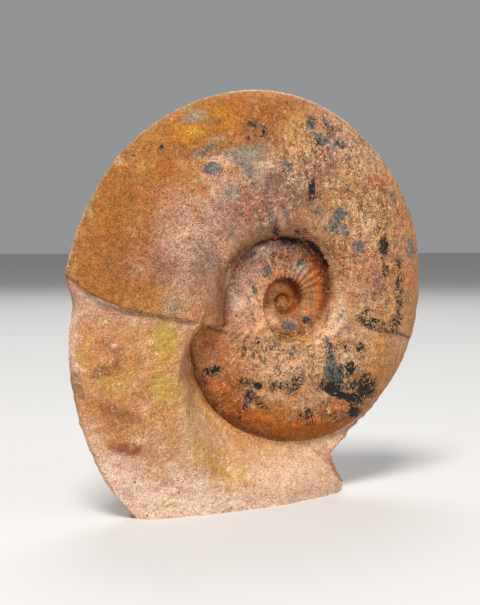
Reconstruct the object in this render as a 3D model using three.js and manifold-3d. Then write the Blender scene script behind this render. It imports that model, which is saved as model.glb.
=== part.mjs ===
// A fossil ammonite that stands on its own rock, in millimetres, +Z up.
// The shell coils in the XZ plane and its display side faces -Y. The pale matrix fills what was the
// living chamber, holds the lower edge of the last whorl and is sawn flat below, so the fossil stands
// on that foot. The origin is on the foot's flat face, under the middle of the whole object.
import * as THREE from "three";
import Module from "manifold-3d";

const wasm = await Module();
wasm.setup();

// Driving dimensions. Angles run counterclockwise from +X, seen from the display side.
const SPIRAL_CENTRE_X = 16.4;
const FOOT_DEPTH = 108.2; // spiral centre down to the foot's flat face
const KEEL_RADIUS = 132; // spiral centre to the keel, beside the break
const KEEL_RADIUS_ANGLE = 174; // where the keel has that radius
// The break runs from the umbilical seam to the keel: [share of the keel radius, angle].
const BREAK_LINE = [
  [0.32, 194.5],
  [0.42, 191],
  [0.55, 185.8],
  [0.66, 183.1],
  [0.8, 180.5],
  [0.92, 177],
  [1, 173],
];
const WHORL_RATE_LATE = 1.81; // growth of the radius over a whorl, beside the break
const WHORL_RATE_EARLY = 2.43; // the same, one whorl before it and earlier
const NUCLEUS_RADIUS = 5; // keel radius where the modelled coil begins
// How far the last whorl's keel strays from the even spiral: [total angle, mm outwards].
const KEEL_WANDER = [
  [-60, 0],
  [-42, 0.5],
  [-28, 1.3],
  [-12, 1.4],
  [0, 0.6],
  [10, 0.8],
  [22, 1.8],
  [40, 1.2],
  [56, 0.3],
  [88, 0],
  [112, -0.7],
  [124, -0.6],
  [140, 0.6],
  [150, 0.3],
  [160, -0.4],
  [172, -0.9],
];

// The whorl's section, as shares of its keel radius.
const HALF_THICKNESS = 0.19;
const INNER_THINNING = 0.09; // the inner whorls are flatter, by this much per radian
const SEAM_RATIO = 0.315; // umbilical seam at the break
const SEAM_DRIFT = 0.045; // how fast that share shrinks inwards, per radian
const FLANK_CREST = 0.45; // where the flank is thickest
const KEEL_FOOT = 0.993; // where the flank ends and the keel stands up
const KEEL_HALF_WIDTH = 0.009;
const SHOULDER_WIDTH = 0.145; // wall and rounded shoulder above the seam, at the break
const SHOULDER_DRIFT = 0.2; // how fast that share shrinks inwards, per radian
const BREAK_SHOULDER = 0.12; // by which it widens over the last 30 degrees
const FLANK_POWER = 2.43;
const FLANK_ROUNDING = 0.75;

// The matrix.
const SHELL_STEP = 1.6; // the shell stands this much proud of the matrix at the break
// How far inside the keel's line the matrix ends: [angle, setback].
const EDGE_SETBACK = [
  [168, 6],
  [171, 5],
  [172.8, 1.6],
  [174.5, 2.4],
  [176.7, 5],
  [178.6, 7],
  [181, 7.5],
  [184, 6.6],
  [190, 5.2],
  [200, 4.2],
  [212, 2],
  [222, -0.3],
  [229, 0.2],
];
const EDGE_HALF_WIDTH = 1.5;
const FOOT_FLARE = 55; // height over which the rock turns from the whorl's section to the foot's
// Where the rock meets the shell it lies lowest, in front of the middle plane: [angle, level].
const GROOVE_LEVEL = [
  [200, 3],
  [215, 1.5],
  [228, 0.6],
  [245, 0.8],
  [256, 2.2],
  [285, 2.2],
  [300, 0.4],
];
// From there it rises to its full depth over a ramp: [angle, width].
const RAMP_WIDTH = [
  [185, 20],
  [212, 20],
  [228, 32],
  [245, 40],
  [262, 42],
];
// Under the break the rock comes in over the older whorl's flank: [angle, reach inside its keel].
const NECK_REACH = [
  [184, 20],
  [190, 16],
  [195, 9.5],
  [200, 3.5],
  [206, 0],
];
const BACK_COVER = 4.5; // rock left on the back of the shell
const CLEARANCE = 0.35; // gap between shell and matrix

const TURN = 2 * Math.PI;
const ROWS_PER_WHORL = 56;
const lateRate = Math.log(WHORL_RATE_LATE) / TURN;
const earlyRate = Math.log(WHORL_RATE_EARLY) / TURN;
const rad = THREE.MathUtils.degToRad;
const degrees = THREE.MathUtils.radToDeg;
const { clamp, lerp, smoothstep } = THREE.MathUtils;
const radiusAngle = rad(KEEL_RADIUS_ANGLE);
const seamBreak = rad(BREAK_LINE[0][1]);

// Reads a table of rows that start with the place they stand for.
function along(table, place, column = 1) {
  const next = table.findIndex(([at]) => at > place);
  if (next < 1) return table.at(next)[column]; // before the first row, or after the last
  const [a, b] = [table[next - 1], table[next]];
  return lerp(a[column], b[column], (place - a[0]) / (b[0] - a[0]));
}

// Spiral: the keel's radius at a total angle, which counts whole turns too.
function keelRadius(theta) {
  const past = theta - radiusAngle;
  const slowing = clamp(past, -TURN, 0);
  const growth =
    lateRate * Math.max(past, slowing) -
    ((earlyRate - lateRate) * slowing * slowing) / (2 * TURN) +
    earlyRate * Math.min(past + TURN, 0);
  return KEEL_RADIUS * Math.exp(growth) + along(KEEL_WANDER, degrees(theta));
}

function seamRatio(theta) {
  return SEAM_RATIO * Math.exp(SEAM_DRIFT * (theta - radiusAngle));
}

function seamRadius(theta) {
  return seamRatio(theta) * keelRadius(theta);
}

function shoulderWidth(theta) {
  const even = SHOULDER_WIDTH * Math.exp(Math.max(SHOULDER_DRIFT * (theta - radiusAngle), -1));
  return even + BREAK_SHOULDER * smoothstep(theta, rad(165), seamBreak);
}

// Height of a whorl's flank above the middle plane, without its umbilical wall.
function flankHeight(theta, ratio) {
  const closing = clamp((ratio - FLANK_CREST) / (KEEL_FOOT - FLANK_CREST), 0, 1);
  const curve = (1 - closing ** FLANK_POWER) ** FLANK_ROUNDING;
  const thickness = HALF_THICKNESS * Math.exp(INNER_THINNING * Math.min(theta - radiusAngle + Math.PI, 0));
  return keelRadius(theta) * (KEEL_HALF_WIDTH + (thickness - KEEL_HALF_WIDTH) * curve);
}

// Height of the visible whorl: the wall rises from the previous whorl's flank at the seam.
function whorlHeight(theta, ratio) {
  const rise = (ratio - seamRatio(theta)) / shoulderWidth(theta);
  const flank = flankHeight(theta, ratio);
  if (rise >= 1) return flank;
  const before = theta - TURN;
  const floor = flankHeight(before, seamRadius(theta) / keelRadius(before));
  return floor + (flank - floor) * Math.sin((Math.max(rise, 0) * Math.PI) / 2);
}

// A closed body whose faces are counterclockwise from outside.
function meshOf(points, faces) {
  return new THREE.BufferGeometry()
    .setAttribute("position", new THREE.Float32BufferAttribute(points.flat(), 3))
    .setIndex(faces.flat());
}

// The quad a, b, c, d as two triangles, turned over for the back side.
function quad(a, b, c, d, turned = false) {
  return turned ? [[a, c, b], [a, d, c]] : [[a, b, c], [a, c, d]];
}

// Where a row of the shell has its points: shares of the shoulder's width, of the stretch from there to
// the next whorl's seam, and of the rest of the flank.
const WALL_STEPS = [0, 0.25, 0.6, 1];
const INNER_STEPS = [0.55, 1];
const OUTER_STEPS = [0.3, 0.55, 0.73, 0.86, 0.95, 1];
const SEAM_COLUMN = WALL_STEPS.length + INNER_STEPS.length - 1;
const KEEL_COLUMN = SEAM_COLUMN + OUTER_STEPS.length + 1;

function columnRatio(theta, column) {
  const seam = seamRatio(theta);
  const shoulder = shoulderWidth(theta);
  const nextSeam = seamRadius(theta + TURN) / keelRadius(theta);
  if (column < WALL_STEPS.length) return seam + shoulder * WALL_STEPS[column];
  if (column <= SEAM_COLUMN) return lerp(seam + shoulder, nextSeam, INNER_STEPS[column - WALL_STEPS.length]);
  if (column < KEEL_COLUMN) return lerp(nextSeam, KEEL_FOOT, OUTER_STEPS[column - SEAM_COLUMN - 1]);
  return 1;
}

// The coiled shell.
function shellGeometry() {
  const wholeRows = Math.log(keelRadius(seamBreak - TURN) / NUCLEUS_RADIUS) / earlyRate / TURN;
  const lastRow = Math.round((1 + wholeRows) * ROWS_PER_WHORL);
  const firstOuterRow = lastRow - ROWS_PER_WHORL;
  const points = [];
  const faces = [];
  const known = new Map();

  // The rows near the break lean like it, on the last whorl and on the one that comes out under it.
  function place(row, column, side) {
    const theta = seamBreak - ((lastRow - row) * TURN) / ROWS_PER_WHORL;
    const ratio = columnRatio(theta, column);
    const under = row < lastRow - ROWS_PER_WHORL / 2;
    const onLast = under ? (ratio * keelRadius(theta)) / keelRadius(theta + TURN) : ratio;
    const away = under ? theta + TURN - seamBreak : seamBreak - theta;
    const lean = column > SEAM_COLUMN || !under ? seamBreak - rad(along(BREAK_LINE, onLast)) : 0;
    const angle = theta - lean * (1 - smoothstep(away, 0, rad(70)));
    const radius = keelRadius(angle) * ratio;
    return [radius * Math.cos(angle), -side * whorlHeight(angle, ratio), radius * Math.sin(angle)];
  }

  function id(row, column, side) {
    if (column === 0 && row >= ROWS_PER_WHORL) return id(row - ROWS_PER_WHORL, SEAM_COLUMN, side);
    const key = `${row}/${column}/${side}`;
    if (!known.has(key)) known.set(key, points.push(place(row, column, side)) - 1);
    return known.get(key);
  }

  function flankFaces(side) {
    for (let row = 0; row < lastRow; row++) {
      const columns = row < firstOuterRow ? SEAM_COLUMN : KEEL_COLUMN;
      for (let c = 0; c < columns; c++) {
        const corners = [[row, c], [row, c + 1], [row + 1, c + 1], [row + 1, c]];
        faces.push(...quad(...corners.map(([r, k]) => id(r, k, side)), side < 0));
      }
    }
  }

  // The middle of the coil, closed by a fan.
  function nucleusFaces(side) {
    const middle = points.push([0, -side * NUCLEUS_RADIUS * HALF_THICKNESS, 0]) - 1;
    const ring = [];
    for (let row = 0; row <= ROWS_PER_WHORL; row++) ring.push(id(row, 0, side));
    for (let c = SEAM_COLUMN - 1; c >= 0; c--) ring.push(id(0, c, side));
    for (let k = 0; k + 1 < ring.length; k++) {
      faces.push(side > 0 ? [middle, ring[k], ring[k + 1]] : [middle, ring[k + 1], ring[k]]);
    }
  }

  // The broken end: between the last row and the whorl that it lay on.
  function breakFaces(side) {
    const outer = [];
    const inner = [];
    for (let c = 0; c <= KEEL_COLUMN; c++) outer.push(id(lastRow, c, side));
    for (let c = SEAM_COLUMN; c <= KEEL_COLUMN; c++) inner.push(id(firstOuterRow, c, side));
    const add = (a, b, c) => faces.push(side > 0 ? [a, b, c] : [a, c, b]);
    add(outer[0], outer[1], inner[1]);
    let [o, i] = [1, 1];
    while (o < outer.length - 1 || i < inner.length - 1) {
      const outerNext = o / (outer.length - 1) <= i / (inner.length - 1);
      if (i === inner.length - 1 || (outerNext && o < outer.length - 1)) {
        add(outer[o], outer[o + 1], inner[i]);
        o += 1;
      } else {
        add(outer[o], inner[i + 1], inner[i]);
        i += 1;
      }
    }
  }

  for (const side of [1, -1]) {
    flankFaces(side);
    nucleusFaces(side);
    breakFaces(side);
  }
  for (let row = firstOuterRow; row < lastRow; row++) {
    const [a, b] = [id(row, KEEL_COLUMN, 1), id(row, KEEL_COLUMN, -1)];
    faces.push(...quad(a, b, id(row + 1, KEEL_COLUMN, -1), id(row + 1, KEEL_COLUMN, 1)));
  }
  const [start, end] = [firstOuterRow, lastRow].map((row) => [1, -1].map((s) => id(row, KEEL_COLUMN, s)));
  faces.push(...quad(start[0], end[0], end[1], start[1]));
  return meshOf(points, faces);
}

// Slow lumps, from about -1 to 1, for broken and unworked rock.
function lumps(x, z) {
  const broad = Math.sin(0.11 * x + 0.7) * Math.sin(0.13 * z - 0.9);
  const fine = Math.sin(0.31 * x - 0.23 * z + 1.9) * Math.cos(0.27 * z + 0.17 * x);
  return 0.6 * broad + 0.4 * fine;
}

// Depth of the foot on either side of the middle plane: [x, front, back].
const FOOT_PLAN = [
  [-96, 8.5, -4],
  [-92.6, 12.6, 0],
  [-87.5, 15.8, 7],
  [-74.8, 18, 18],
  [-61.9, 20.3, 23.4],
  [-32.6, 20.5, 24.2],
  [-9, 19.6, 23],
  [1.2, 16.2, 21],
  [20.7, 11.5, 17],
  [31.6, 7.9, 13],
  [40, 1.5, 7],
];

// The matrix's outline from the foot's right end up to the rim behind the shell, with the angle on the
// buried keel and the depth in front of the middle plane: [x, z, keel angle, front].
const RIGHT_END = [
  [40, -FOOT_DEPTH, 280.8, 1.5],
  [40.5, -102.8, 283, 2],
  [35, -96.5, 285.7, 4],
  [31, -90.5, 288.6, 6],
  [29.6, -85.5, 290.5, 5.5],
  [38.7, -80, 299, 3],
  [46.3, -74.6, 304, 1],
  [52.8, -69.7, 308, 0.9],
  [60.3, -64.3, 314, 0.8],
  [66.5, -58.6, 319.5, 0.8],
];

const FOOT_CORNER_ANGLE = 228.5; // where the rim's line meets the foot's plane
const RIM_ANGLES = [
  163, 168, 171, 172.8, 174.5, 176.7, 178.6, 181, 184, 187, 190, 193, 196, 199, 202, 206, 210, 214, 218, 223,
  FOOT_CORNER_ANGLE,
];

const FOOT_STATIONS = 15;

// Stations round the matrix: the angle on the buried keel, and the outline's point across from it.
function matrixStations() {
  const stations = [];
  for (const angle of RIM_ANGLES) {
    const edge = keelRadius(rad(angle)) - along(EDGE_SETBACK, angle);
    stations.push({ angle: rad(angle), x: edge * Math.cos(rad(angle)), z: edge * Math.sin(rad(angle)) });
  }
  stations.at(-1).z = -FOOT_DEPTH;
  const footStart = stations.at(-1).x;
  for (let k = 1; k <= FOOT_STATIONS; k++) {
    const share = k / FOOT_STATIONS;
    const angle = rad(lerp(FOOT_CORNER_ANGLE, RIGHT_END[0][2], share));
    stations.push({ angle, x: lerp(footStart, RIGHT_END[0][0], share), z: -FOOT_DEPTH });
  }
  for (const [x, z, angle, front] of RIGHT_END.slice(1)) stations.push({ angle: rad(angle), x, z, front });
  return stations;
}

// Half thickness of the rock where it is free: the whorl going on past the break, and below it the foot.
function rockHeight(x, z, column) {
  const angle = (Math.atan2(z, x) + TURN) % TURN;
  const keel = keelRadius(angle);
  const edge = 1 - along(EDGE_SETBACK, degrees(angle)) / keel;
  const closing = clamp((Math.hypot(x, z) / keel - FLANK_CREST) / (edge - FLANK_CREST), 0, 1);
  const curve = (1 - closing ** FLANK_POWER) ** FLANK_ROUNDING;
  const whorl = EDGE_HALF_WIDTH + (HALF_THICKNESS * keel - EDGE_HALF_WIDTH - SHELL_STEP) * curve;
  const down = smoothstep(-z, FOOT_DEPTH - FOOT_FLARE, FOOT_DEPTH);
  const thin = 1 - 0.7 * smoothstep(x, 0, 45);
  return lerp(whorl * thin, along(FOOT_PLAN, x, column), down);
}

// Front of the matrix: the ramp up from the shell and the free surface. The ramp starts steeply at the
// left, and it is a gentle hollow below the shell.
function frontHeight(station, run, x, z) {
  const angle = degrees(station.angle);
  const rock = (station.front ?? rockHeight(x, z, 1)) - 2.2 * (1 - smoothstep(angle, 171, 175));
  const climb = clamp(run / station.ramp, 0, 1);
  const straight = lerp(0.5, 0.1, smoothstep(angle, 212, 232));
  return lerp(along(GROOVE_LEVEL, angle), rock, lerp(smoothstep(climb, 0, 1), climb, straight));
}

// Back of the matrix, rough, and spread over the lower edge of the shell.
function backHeight(station, run, x, z) {
  const keel = keelRadius(station.angle - TURN);
  const onShell = flankHeight(station.angle - TURN, Math.hypot(x, z) / keel) + BACK_COVER;
  const free = rockHeight(x, z, 2);
  const rough = 1.1 * (lumps(x, z) - 0.5) * smoothstep(degrees(station.angle), 185, 215);
  const share = smoothstep(run, -4, 16);
  const thin = 1 - 0.55 * smoothstep(degrees(station.angle), 300, 320);
  return (lerp(Math.min(onShell, free + 3), free, share) + rough * share) * thin;
}

// How far the rock reaches inwards over the back of the shell.
function coverReach(angle) {
  const wave = 5 * Math.sin(3.1 * angle + 0.6) + 3 * Math.sin(7.3 * angle);
  const ends = smoothstep(degrees(angle), 186, 215) * (1 - smoothstep(degrees(angle), 300, 325));
  return 3 + (20 + wave) * ends;
}

const RAMP_STEPS = [0.12, 0.27, 0.45, 0.65, 0.85, 1];
const FRONT_STEPS = [0.2, 0.42, 0.64, 0.82, 0.94, 1];
const BACK_STEPS = [1, 0.97, 0.9, 0.78, 0.6, 0.42, 0.26, 0.12];
const COVER_STEPS = [0, 0.4, 0.8, 1];

function matrixSection(station) {
  const keel = keelRadius(station.angle - TURN) - along(NECK_REACH, degrees(station.angle));
  const root = new THREE.Vector2(Math.cos(station.angle), Math.sin(station.angle)).multiplyScalar(keel);
  const across = new THREE.Vector2(station.x, station.z).sub(root);
  station.length = across.length();
  station.ramp = Math.min(along(RAMP_WIDTH, degrees(station.angle)), 0.8 * station.length);
  const section = [];
  const at = (run, depth, height) => {
    const p = root.clone();
    if (run < 0) p.multiplyScalar(1 + run / keel);
    else p.addScaledVector(across, run / station.length);
    section.push([p.x, depth * height(p.x, p.y), p.y]);
  };
  const front = (run) => at(run, -1, (x, z) => frontHeight(station, run, x, z));
  const back = (run) => at(run, 1, (x, z) => backHeight(station, run, x, z));
  const reach = coverReach(station.angle);
  front(-0.1 * keel);
  front(0);
  for (const step of RAMP_STEPS) front(step * station.ramp);
  for (const step of FRONT_STEPS) front(lerp(station.ramp, station.length, step));
  for (const step of BACK_STEPS) back(step * station.length);
  for (const step of COVER_STEPS) back(-step * reach);
  at(-reach - 2.5, 1, () => 2);
  return section;
}

// The rock before the shell is cut out of it: sections joined station by station, with flat ends.
function matrixGeometry() {
  const sections = matrixStations().map(matrixSection);
  const size = sections[0].length;
  const faces = [];
  sections.slice(1).forEach((_, s) => {
    for (let k = 0; k < size; k++) {
      const next = (k + 1) % size;
      const here = s * size;
      faces.push(...quad(here + k, here + next, here + size + next, here + size + k));
    }
  });
  const cap = (s, turned) => {
    const flat = sections[s].map(([x, y, z]) => new THREE.Vector2(Math.hypot(x, z), y));
    for (const [a, b, c] of THREE.ShapeUtils.triangulateShape(flat, [])) {
      const face = (turned ? [a, c, b] : [a, b, c]).map((k) => s * size + k);
      faces.push(face);
    }
  };
  cap(0, true);
  cap(sections.length - 1, false);
  return meshOf(sections.flat(), faces);
}

// The same surface moved outwards along its normals.
function swollen(geometry, margin) {
  const grown = geometry.clone();
  grown.computeVertexNormals();
  const [at, normal] = [grown.getAttribute("position"), grown.getAttribute("normal")];
  for (let k = 0; k < at.array.length; k++) at.array[k] += margin * normal.array[k];
  return grown;
}

function solidOf(geometry) {
  const vertProperties = new Float32Array(geometry.getAttribute("position").array);
  const triVerts = new Uint32Array(geometry.index.array);
  return new wasm.Manifold(new wasm.Mesh({ numProp: 3, vertProperties, triVerts }));
}

function geometryOf(solid) {
  const { vertProperties, triVerts } = solid.getMesh();
  return new THREE.BufferGeometry()
    .setAttribute("position", new THREE.BufferAttribute(vertProperties, 3))
    .setIndex(new THREE.BufferAttribute(triVerts, 1));
}

function named(name, geometry, color, roughness) {
  geometry.computeVertexNormals();
  const mesh = new THREE.Mesh(geometry, new THREE.MeshStandardMaterial({ color, roughness, metalness: 0 }));
  mesh.name = name;
  mesh.position.set(SPIRAL_CENTRE_X, 0, FOOT_DEPTH);
  return mesh;
}

// The largest body of the cut rock; crumbs that the cut leaves are dropped.
function socketed(rock, shell) {
  const bodies = rock.subtract(shell).decompose();
  return bodies.reduce((best, body) => (body.volume() > best.volume() ? body : best));
}

const ammonite = named("ammonite", shellGeometry(), 0xb4764c, 0.8);
// The socket is the swollen shell, with the shell moved left and down to either side, which clears the
// inner corner under the break, where the surface folds.
const socket = [-CLEARANCE, CLEARANCE]
  .map((sideways) => solidOf(shellGeometry().translate(-CLEARANCE, sideways, -CLEARANCE)))
  .reduce((joined, moved) => joined.add(moved), solidOf(swollen(shellGeometry(), CLEARANCE)));
const rock = socketed(solidOf(matrixGeometry()), socket);
const matrix = named("matrix", geometryOf(rock), 0xd0a37c, 0.9);

const fossil = new THREE.Group();
fossil.add(ammonite, matrix);
export default fossil;
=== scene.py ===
"""A fossil ammonite on its own limestone: the looks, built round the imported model."""

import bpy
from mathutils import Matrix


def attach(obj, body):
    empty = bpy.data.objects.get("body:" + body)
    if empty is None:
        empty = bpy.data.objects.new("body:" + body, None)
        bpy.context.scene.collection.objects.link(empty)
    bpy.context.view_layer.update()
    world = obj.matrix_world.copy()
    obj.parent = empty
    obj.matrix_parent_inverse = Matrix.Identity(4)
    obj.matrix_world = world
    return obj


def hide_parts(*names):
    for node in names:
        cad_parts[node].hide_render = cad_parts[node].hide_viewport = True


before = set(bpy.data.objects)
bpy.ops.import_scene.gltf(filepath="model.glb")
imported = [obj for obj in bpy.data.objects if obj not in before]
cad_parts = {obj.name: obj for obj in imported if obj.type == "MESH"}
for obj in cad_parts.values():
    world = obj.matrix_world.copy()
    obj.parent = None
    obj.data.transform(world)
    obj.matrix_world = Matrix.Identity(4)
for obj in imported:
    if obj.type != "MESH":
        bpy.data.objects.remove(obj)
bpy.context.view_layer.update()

import math

import bpy
import numpy as np
from mathutils import Vector

MM = 0.001
TURN = 2 * math.pi

# The spiral and the whorl's section, as in the solids: lengths in millimetres, tables' angles in degrees.
SPIRAL_CENTRE = (16.4, 0.0, 108.2)
FOOT_DEPTH = SPIRAL_CENTRE[2]
KEEL_RADIUS = 132
KEEL_BREAK = math.radians(174)
BREAK_RATIOS = [0.32, 0.42, 0.55, 0.66, 0.8, 0.92, 1]
BREAK_ANGLES = [194.5, 191, 185.8, 183.1, 180.5, 177, 173]
SEAM_BREAK = math.radians(BREAK_ANGLES[0])
LATE_RATE = math.log(1.81) / TURN
EARLY_RATE = math.log(2.43) / TURN
WANDER_ANGLES = [-60, -42, -28, -12, 0, 10, 22, 40, 56, 88, 112, 124, 140, 150, 160, 172]
WANDER = [0, 0.5, 1.3, 1.4, 0.6, 0.8, 1.8, 1.2, 0.3, 0, -0.7, -0.6, 0.6, 0.3, -0.4, -0.9]
WANDER_BLUR = (-6, -3, 0, 3, 6)
NUCLEUS_RADIUS = 5
HALF_THICKNESS = 0.19
INNER_THINNING = 0.09
SEAM_RATIO = 0.315
SEAM_DRIFT = 0.045
FLANK_CREST = 0.45
KEEL_FOOT = 0.993
KEEL_HALF_WIDTH = 0.009
SHOULDER_WIDTH = 0.145
SHOULDER_DRIFT = 0.2
BREAK_SHOULDER = 0.12  # how much wider the shoulder is at the break
FLANK_POWER = 2.43
FLANK_ROUNDING = 0.75

# The camera stands where the picture was taken from.
VIEW_AZIMUTH = math.radians(-32.4959)
VIEW_ELEVATION = math.radians(2.3551)
VIEW_DISTANCE = 706.938
VIEW_TARGET = np.array([-27.04 + SPIRAL_CENTRE[0], 0, -0.1875 + FOOT_DEPTH])
FOCAL_PX = 1315.05
FRAME_PX = (480, 605)


def smoothstep(x, low, high):
    """Rises from 0 at low to 1 at high and stays level beyond them. With low above high it falls."""
    t = np.clip((x - low) / (high - low), 0, 1)
    return t * t * (3 - 2 * t)


def lerp(a, b, t):
    return a + (b - a) * t


# The page: where a point of the object lies in the picture, which is how marks are placed.


def camera_axes():
    a, e = VIEW_AZIMUTH, VIEW_ELEVATION
    back = np.array([math.sin(a) * math.cos(e), -math.cos(a) * math.cos(e), math.sin(e)])
    right = np.cross(-back, [0, 0, 1])
    right /= np.linalg.norm(right)
    return VIEW_TARGET + VIEW_DISTANCE * back, -back, right, np.cross(right, -back)


def page_of(points):
    """Where points given in millimetres lie in the picture. The back is folded to the front."""
    eye, ahead, right, up = camera_axes()
    seen = points * [1, 0, 1] + np.abs(points[:, 1:2]) * [0, -1, 0]
    from_eye = seen - eye
    depth = from_eye @ ahead
    x = FRAME_PX[0] / 2 + FOCAL_PX * (from_eye @ right) / depth
    y = FRAME_PX[1] / 2 - FOCAL_PX * (from_eye @ up) / depth
    return np.stack([x, y], 1)


# Noise

NOISE_CELLS = 64
NOISE_GAIN = 1.5


def noise(u, v, size, seed):
    """Smooth noise from about -1 to 1, with lumps of about that size."""
    turns = np.random.default_rng(seed).random((NOISE_CELLS, NOISE_CELLS)) * TURN
    u, v = u / size, v / size
    i, j = np.floor(u).astype(int), np.floor(v).astype(int)
    f, g = u - i, v - j

    def corner(di, dj):
        turn = turns[(i + di) % NOISE_CELLS, (j + dj) % NOISE_CELLS]
        return np.cos(turn) * (f - di) + np.sin(turn) * (g - dj)

    s = f * f * f * (f * (6 * f - 15) + 10)
    t = g * g * g * (g * (6 * g - 15) + 10)
    low = lerp(corner(0, 0), corner(1, 0), s)
    high = lerp(corner(0, 1), corner(1, 1), s)
    return NOISE_GAIN * lerp(low, high, t)


def rough(u, v, size, seed, octaves=3, fade=0.55):
    """Noise at several sizes, each half of the one before."""
    total = 0
    for k in range(octaves):
        turned_u = u * math.cos(k) - v * math.sin(k)
        turned_v = u * math.sin(k) + v * math.cos(k)
        total = total + fade**k * noise(turned_u, turned_v, size / 2**k, seed + k)
    return total


# The shell


def keel_radius(theta):
    past = theta - KEEL_BREAK
    slowing = np.clip(past, -TURN, 0)
    growth = (
        LATE_RATE * np.maximum(past, slowing)
        - (EARLY_RATE - LATE_RATE) * slowing**2 / (2 * TURN)
        + EARLY_RATE * np.minimum(past + TURN, 0)
    )
    degrees = np.degrees(theta)
    wander = np.mean([np.interp(degrees + d, WANDER_ANGLES, WANDER) for d in WANDER_BLUR], 0)
    return KEEL_RADIUS * np.exp(growth) + wander


def seam_ratio(theta):
    return SEAM_RATIO * np.exp(SEAM_DRIFT * (theta - KEEL_BREAK))


def seam_radius(theta):
    return seam_ratio(theta) * keel_radius(theta)


def shoulder_width(theta):
    near_break = BREAK_SHOULDER * smoothstep(theta, math.radians(165), SEAM_BREAK)
    return SHOULDER_WIDTH * np.exp(np.maximum(SHOULDER_DRIFT * (theta - KEEL_BREAK), -1)) + near_break


def flank_curve(ratio, edge):
    """The flank's fall from 1 at its crest to 0 at the given edge."""
    closing = np.clip((ratio - FLANK_CREST) / (edge - FLANK_CREST), 0, 1)
    return (1 - closing**FLANK_POWER) ** FLANK_ROUNDING


def flank_height(theta, ratio):
    thickness = HALF_THICKNESS * np.exp(INNER_THINNING * np.minimum(theta - KEEL_BREAK + math.pi, 0))
    keel = np.clip((ratio - KEEL_FOOT) / (1 - KEEL_FOOT), 0, 1)
    crest = KEEL_HALF_WIDTH * np.sqrt(1 - keel**2)
    return keel_radius(theta) * (crest + (thickness - KEEL_HALF_WIDTH) * flank_curve(ratio, KEEL_FOOT))


def whorl_height(theta, ratio):
    rise = (ratio - seam_ratio(theta)) / shoulder_width(theta)
    flank = flank_height(theta, ratio)
    before = theta - TURN
    floor = flank_height(before, seam_radius(theta) / keel_radius(before))
    wall = floor + (flank - floor) * np.sin(np.clip(rise, 0, 1) * math.pi / 2)
    return np.where(rise >= 1, flank, wall)


ROWS = 400  # of the mesh in one whorl
NEAR_COLUMNS = (15, 8, 58, 4)  # in the wall, the inner flank, the outer flank and the keel
FAR_COLUMNS = (9, 4, 26, 3)
WALL_CROWDING, FLANK_CROWDING = 1.3, 0.9
LEAN_SPREAD = math.radians(70)  # how far back the rows lean with the slanted break
END_STEP = 0.25  # from the rim to the rough face of the break
END_FLATTENING = 0.97


def shell_columns(counts):
    """Where each row has its points: the zone (wall, inner flank, outer flank, keel) and the share."""
    zones = [np.linspace(0, 1, count + 1) for count in counts]
    zones[0] = zones[0] ** WALL_CROWDING
    zones[2] = np.sin(zones[2] * math.pi / 2) ** FLANK_CROWDING
    steps = [(k, share) for k, zone in enumerate(zones) for share in zone[:-1]]
    return np.array(steps + [(3, 1)]), counts[0] + counts[1]


def shell_grid(steps, seam_column, side):
    """Points of one side of the shell, row by row from the middle of the coil to the break."""
    whole = math.log(float(keel_radius(SEAM_BREAK - TURN)) / NUCLEUS_RADIUS) / EARLY_RATE / TURN
    last = round((1 + whole) * ROWS)
    row = np.arange(last + 1)[:, None]
    theta = SEAM_BREAK - (last - row) * TURN / ROWS
    seam, shoulder = seam_ratio(theta), shoulder_width(theta)
    next_seam = seam_radius(theta + TURN) / keel_radius(theta)
    ends = [seam, seam + shoulder, next_seam, KEEL_FOOT + 0 * seam, 1 + 0 * seam]
    ratio = np.concatenate([lerp(ends[int(z)], ends[int(z) + 1], t) for z, t in steps], 1)
    column = np.arange(len(steps))[None, :]
    under = row < last - ROWS / 2
    on_last = np.where(under, ratio * keel_radius(theta) / keel_radius(theta + TURN), ratio)
    away = np.where(under, theta + TURN - SEAM_BREAK, SEAM_BREAK - theta)
    leaning = SEAM_BREAK - np.radians(np.interp(on_last, BREAK_RATIOS, BREAK_ANGLES))
    lean = np.where((column > seam_column) | ~under, leaning, 0)
    angle = theta - lean * smoothstep(away, LEAN_SPREAD, 0)
    radius = keel_radius(angle) * ratio
    height = whorl_height(angle, ratio)
    points = np.stack([radius * np.cos(angle), -side * height, radius * np.sin(angle)], 2)
    info = np.stack([angle + 0 * ratio, ratio + 0 * angle], 2)
    return points, info, last


def grid_faces(ids, turned=False):
    a, b, c, d = ids[:-1, :-1], ids[:-1, 1:], ids[1:, 1:], ids[1:, :-1]
    return np.stack([a, d, c, b] if turned else [a, b, c, d], -1).reshape(-1, 4).tolist()


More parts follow.
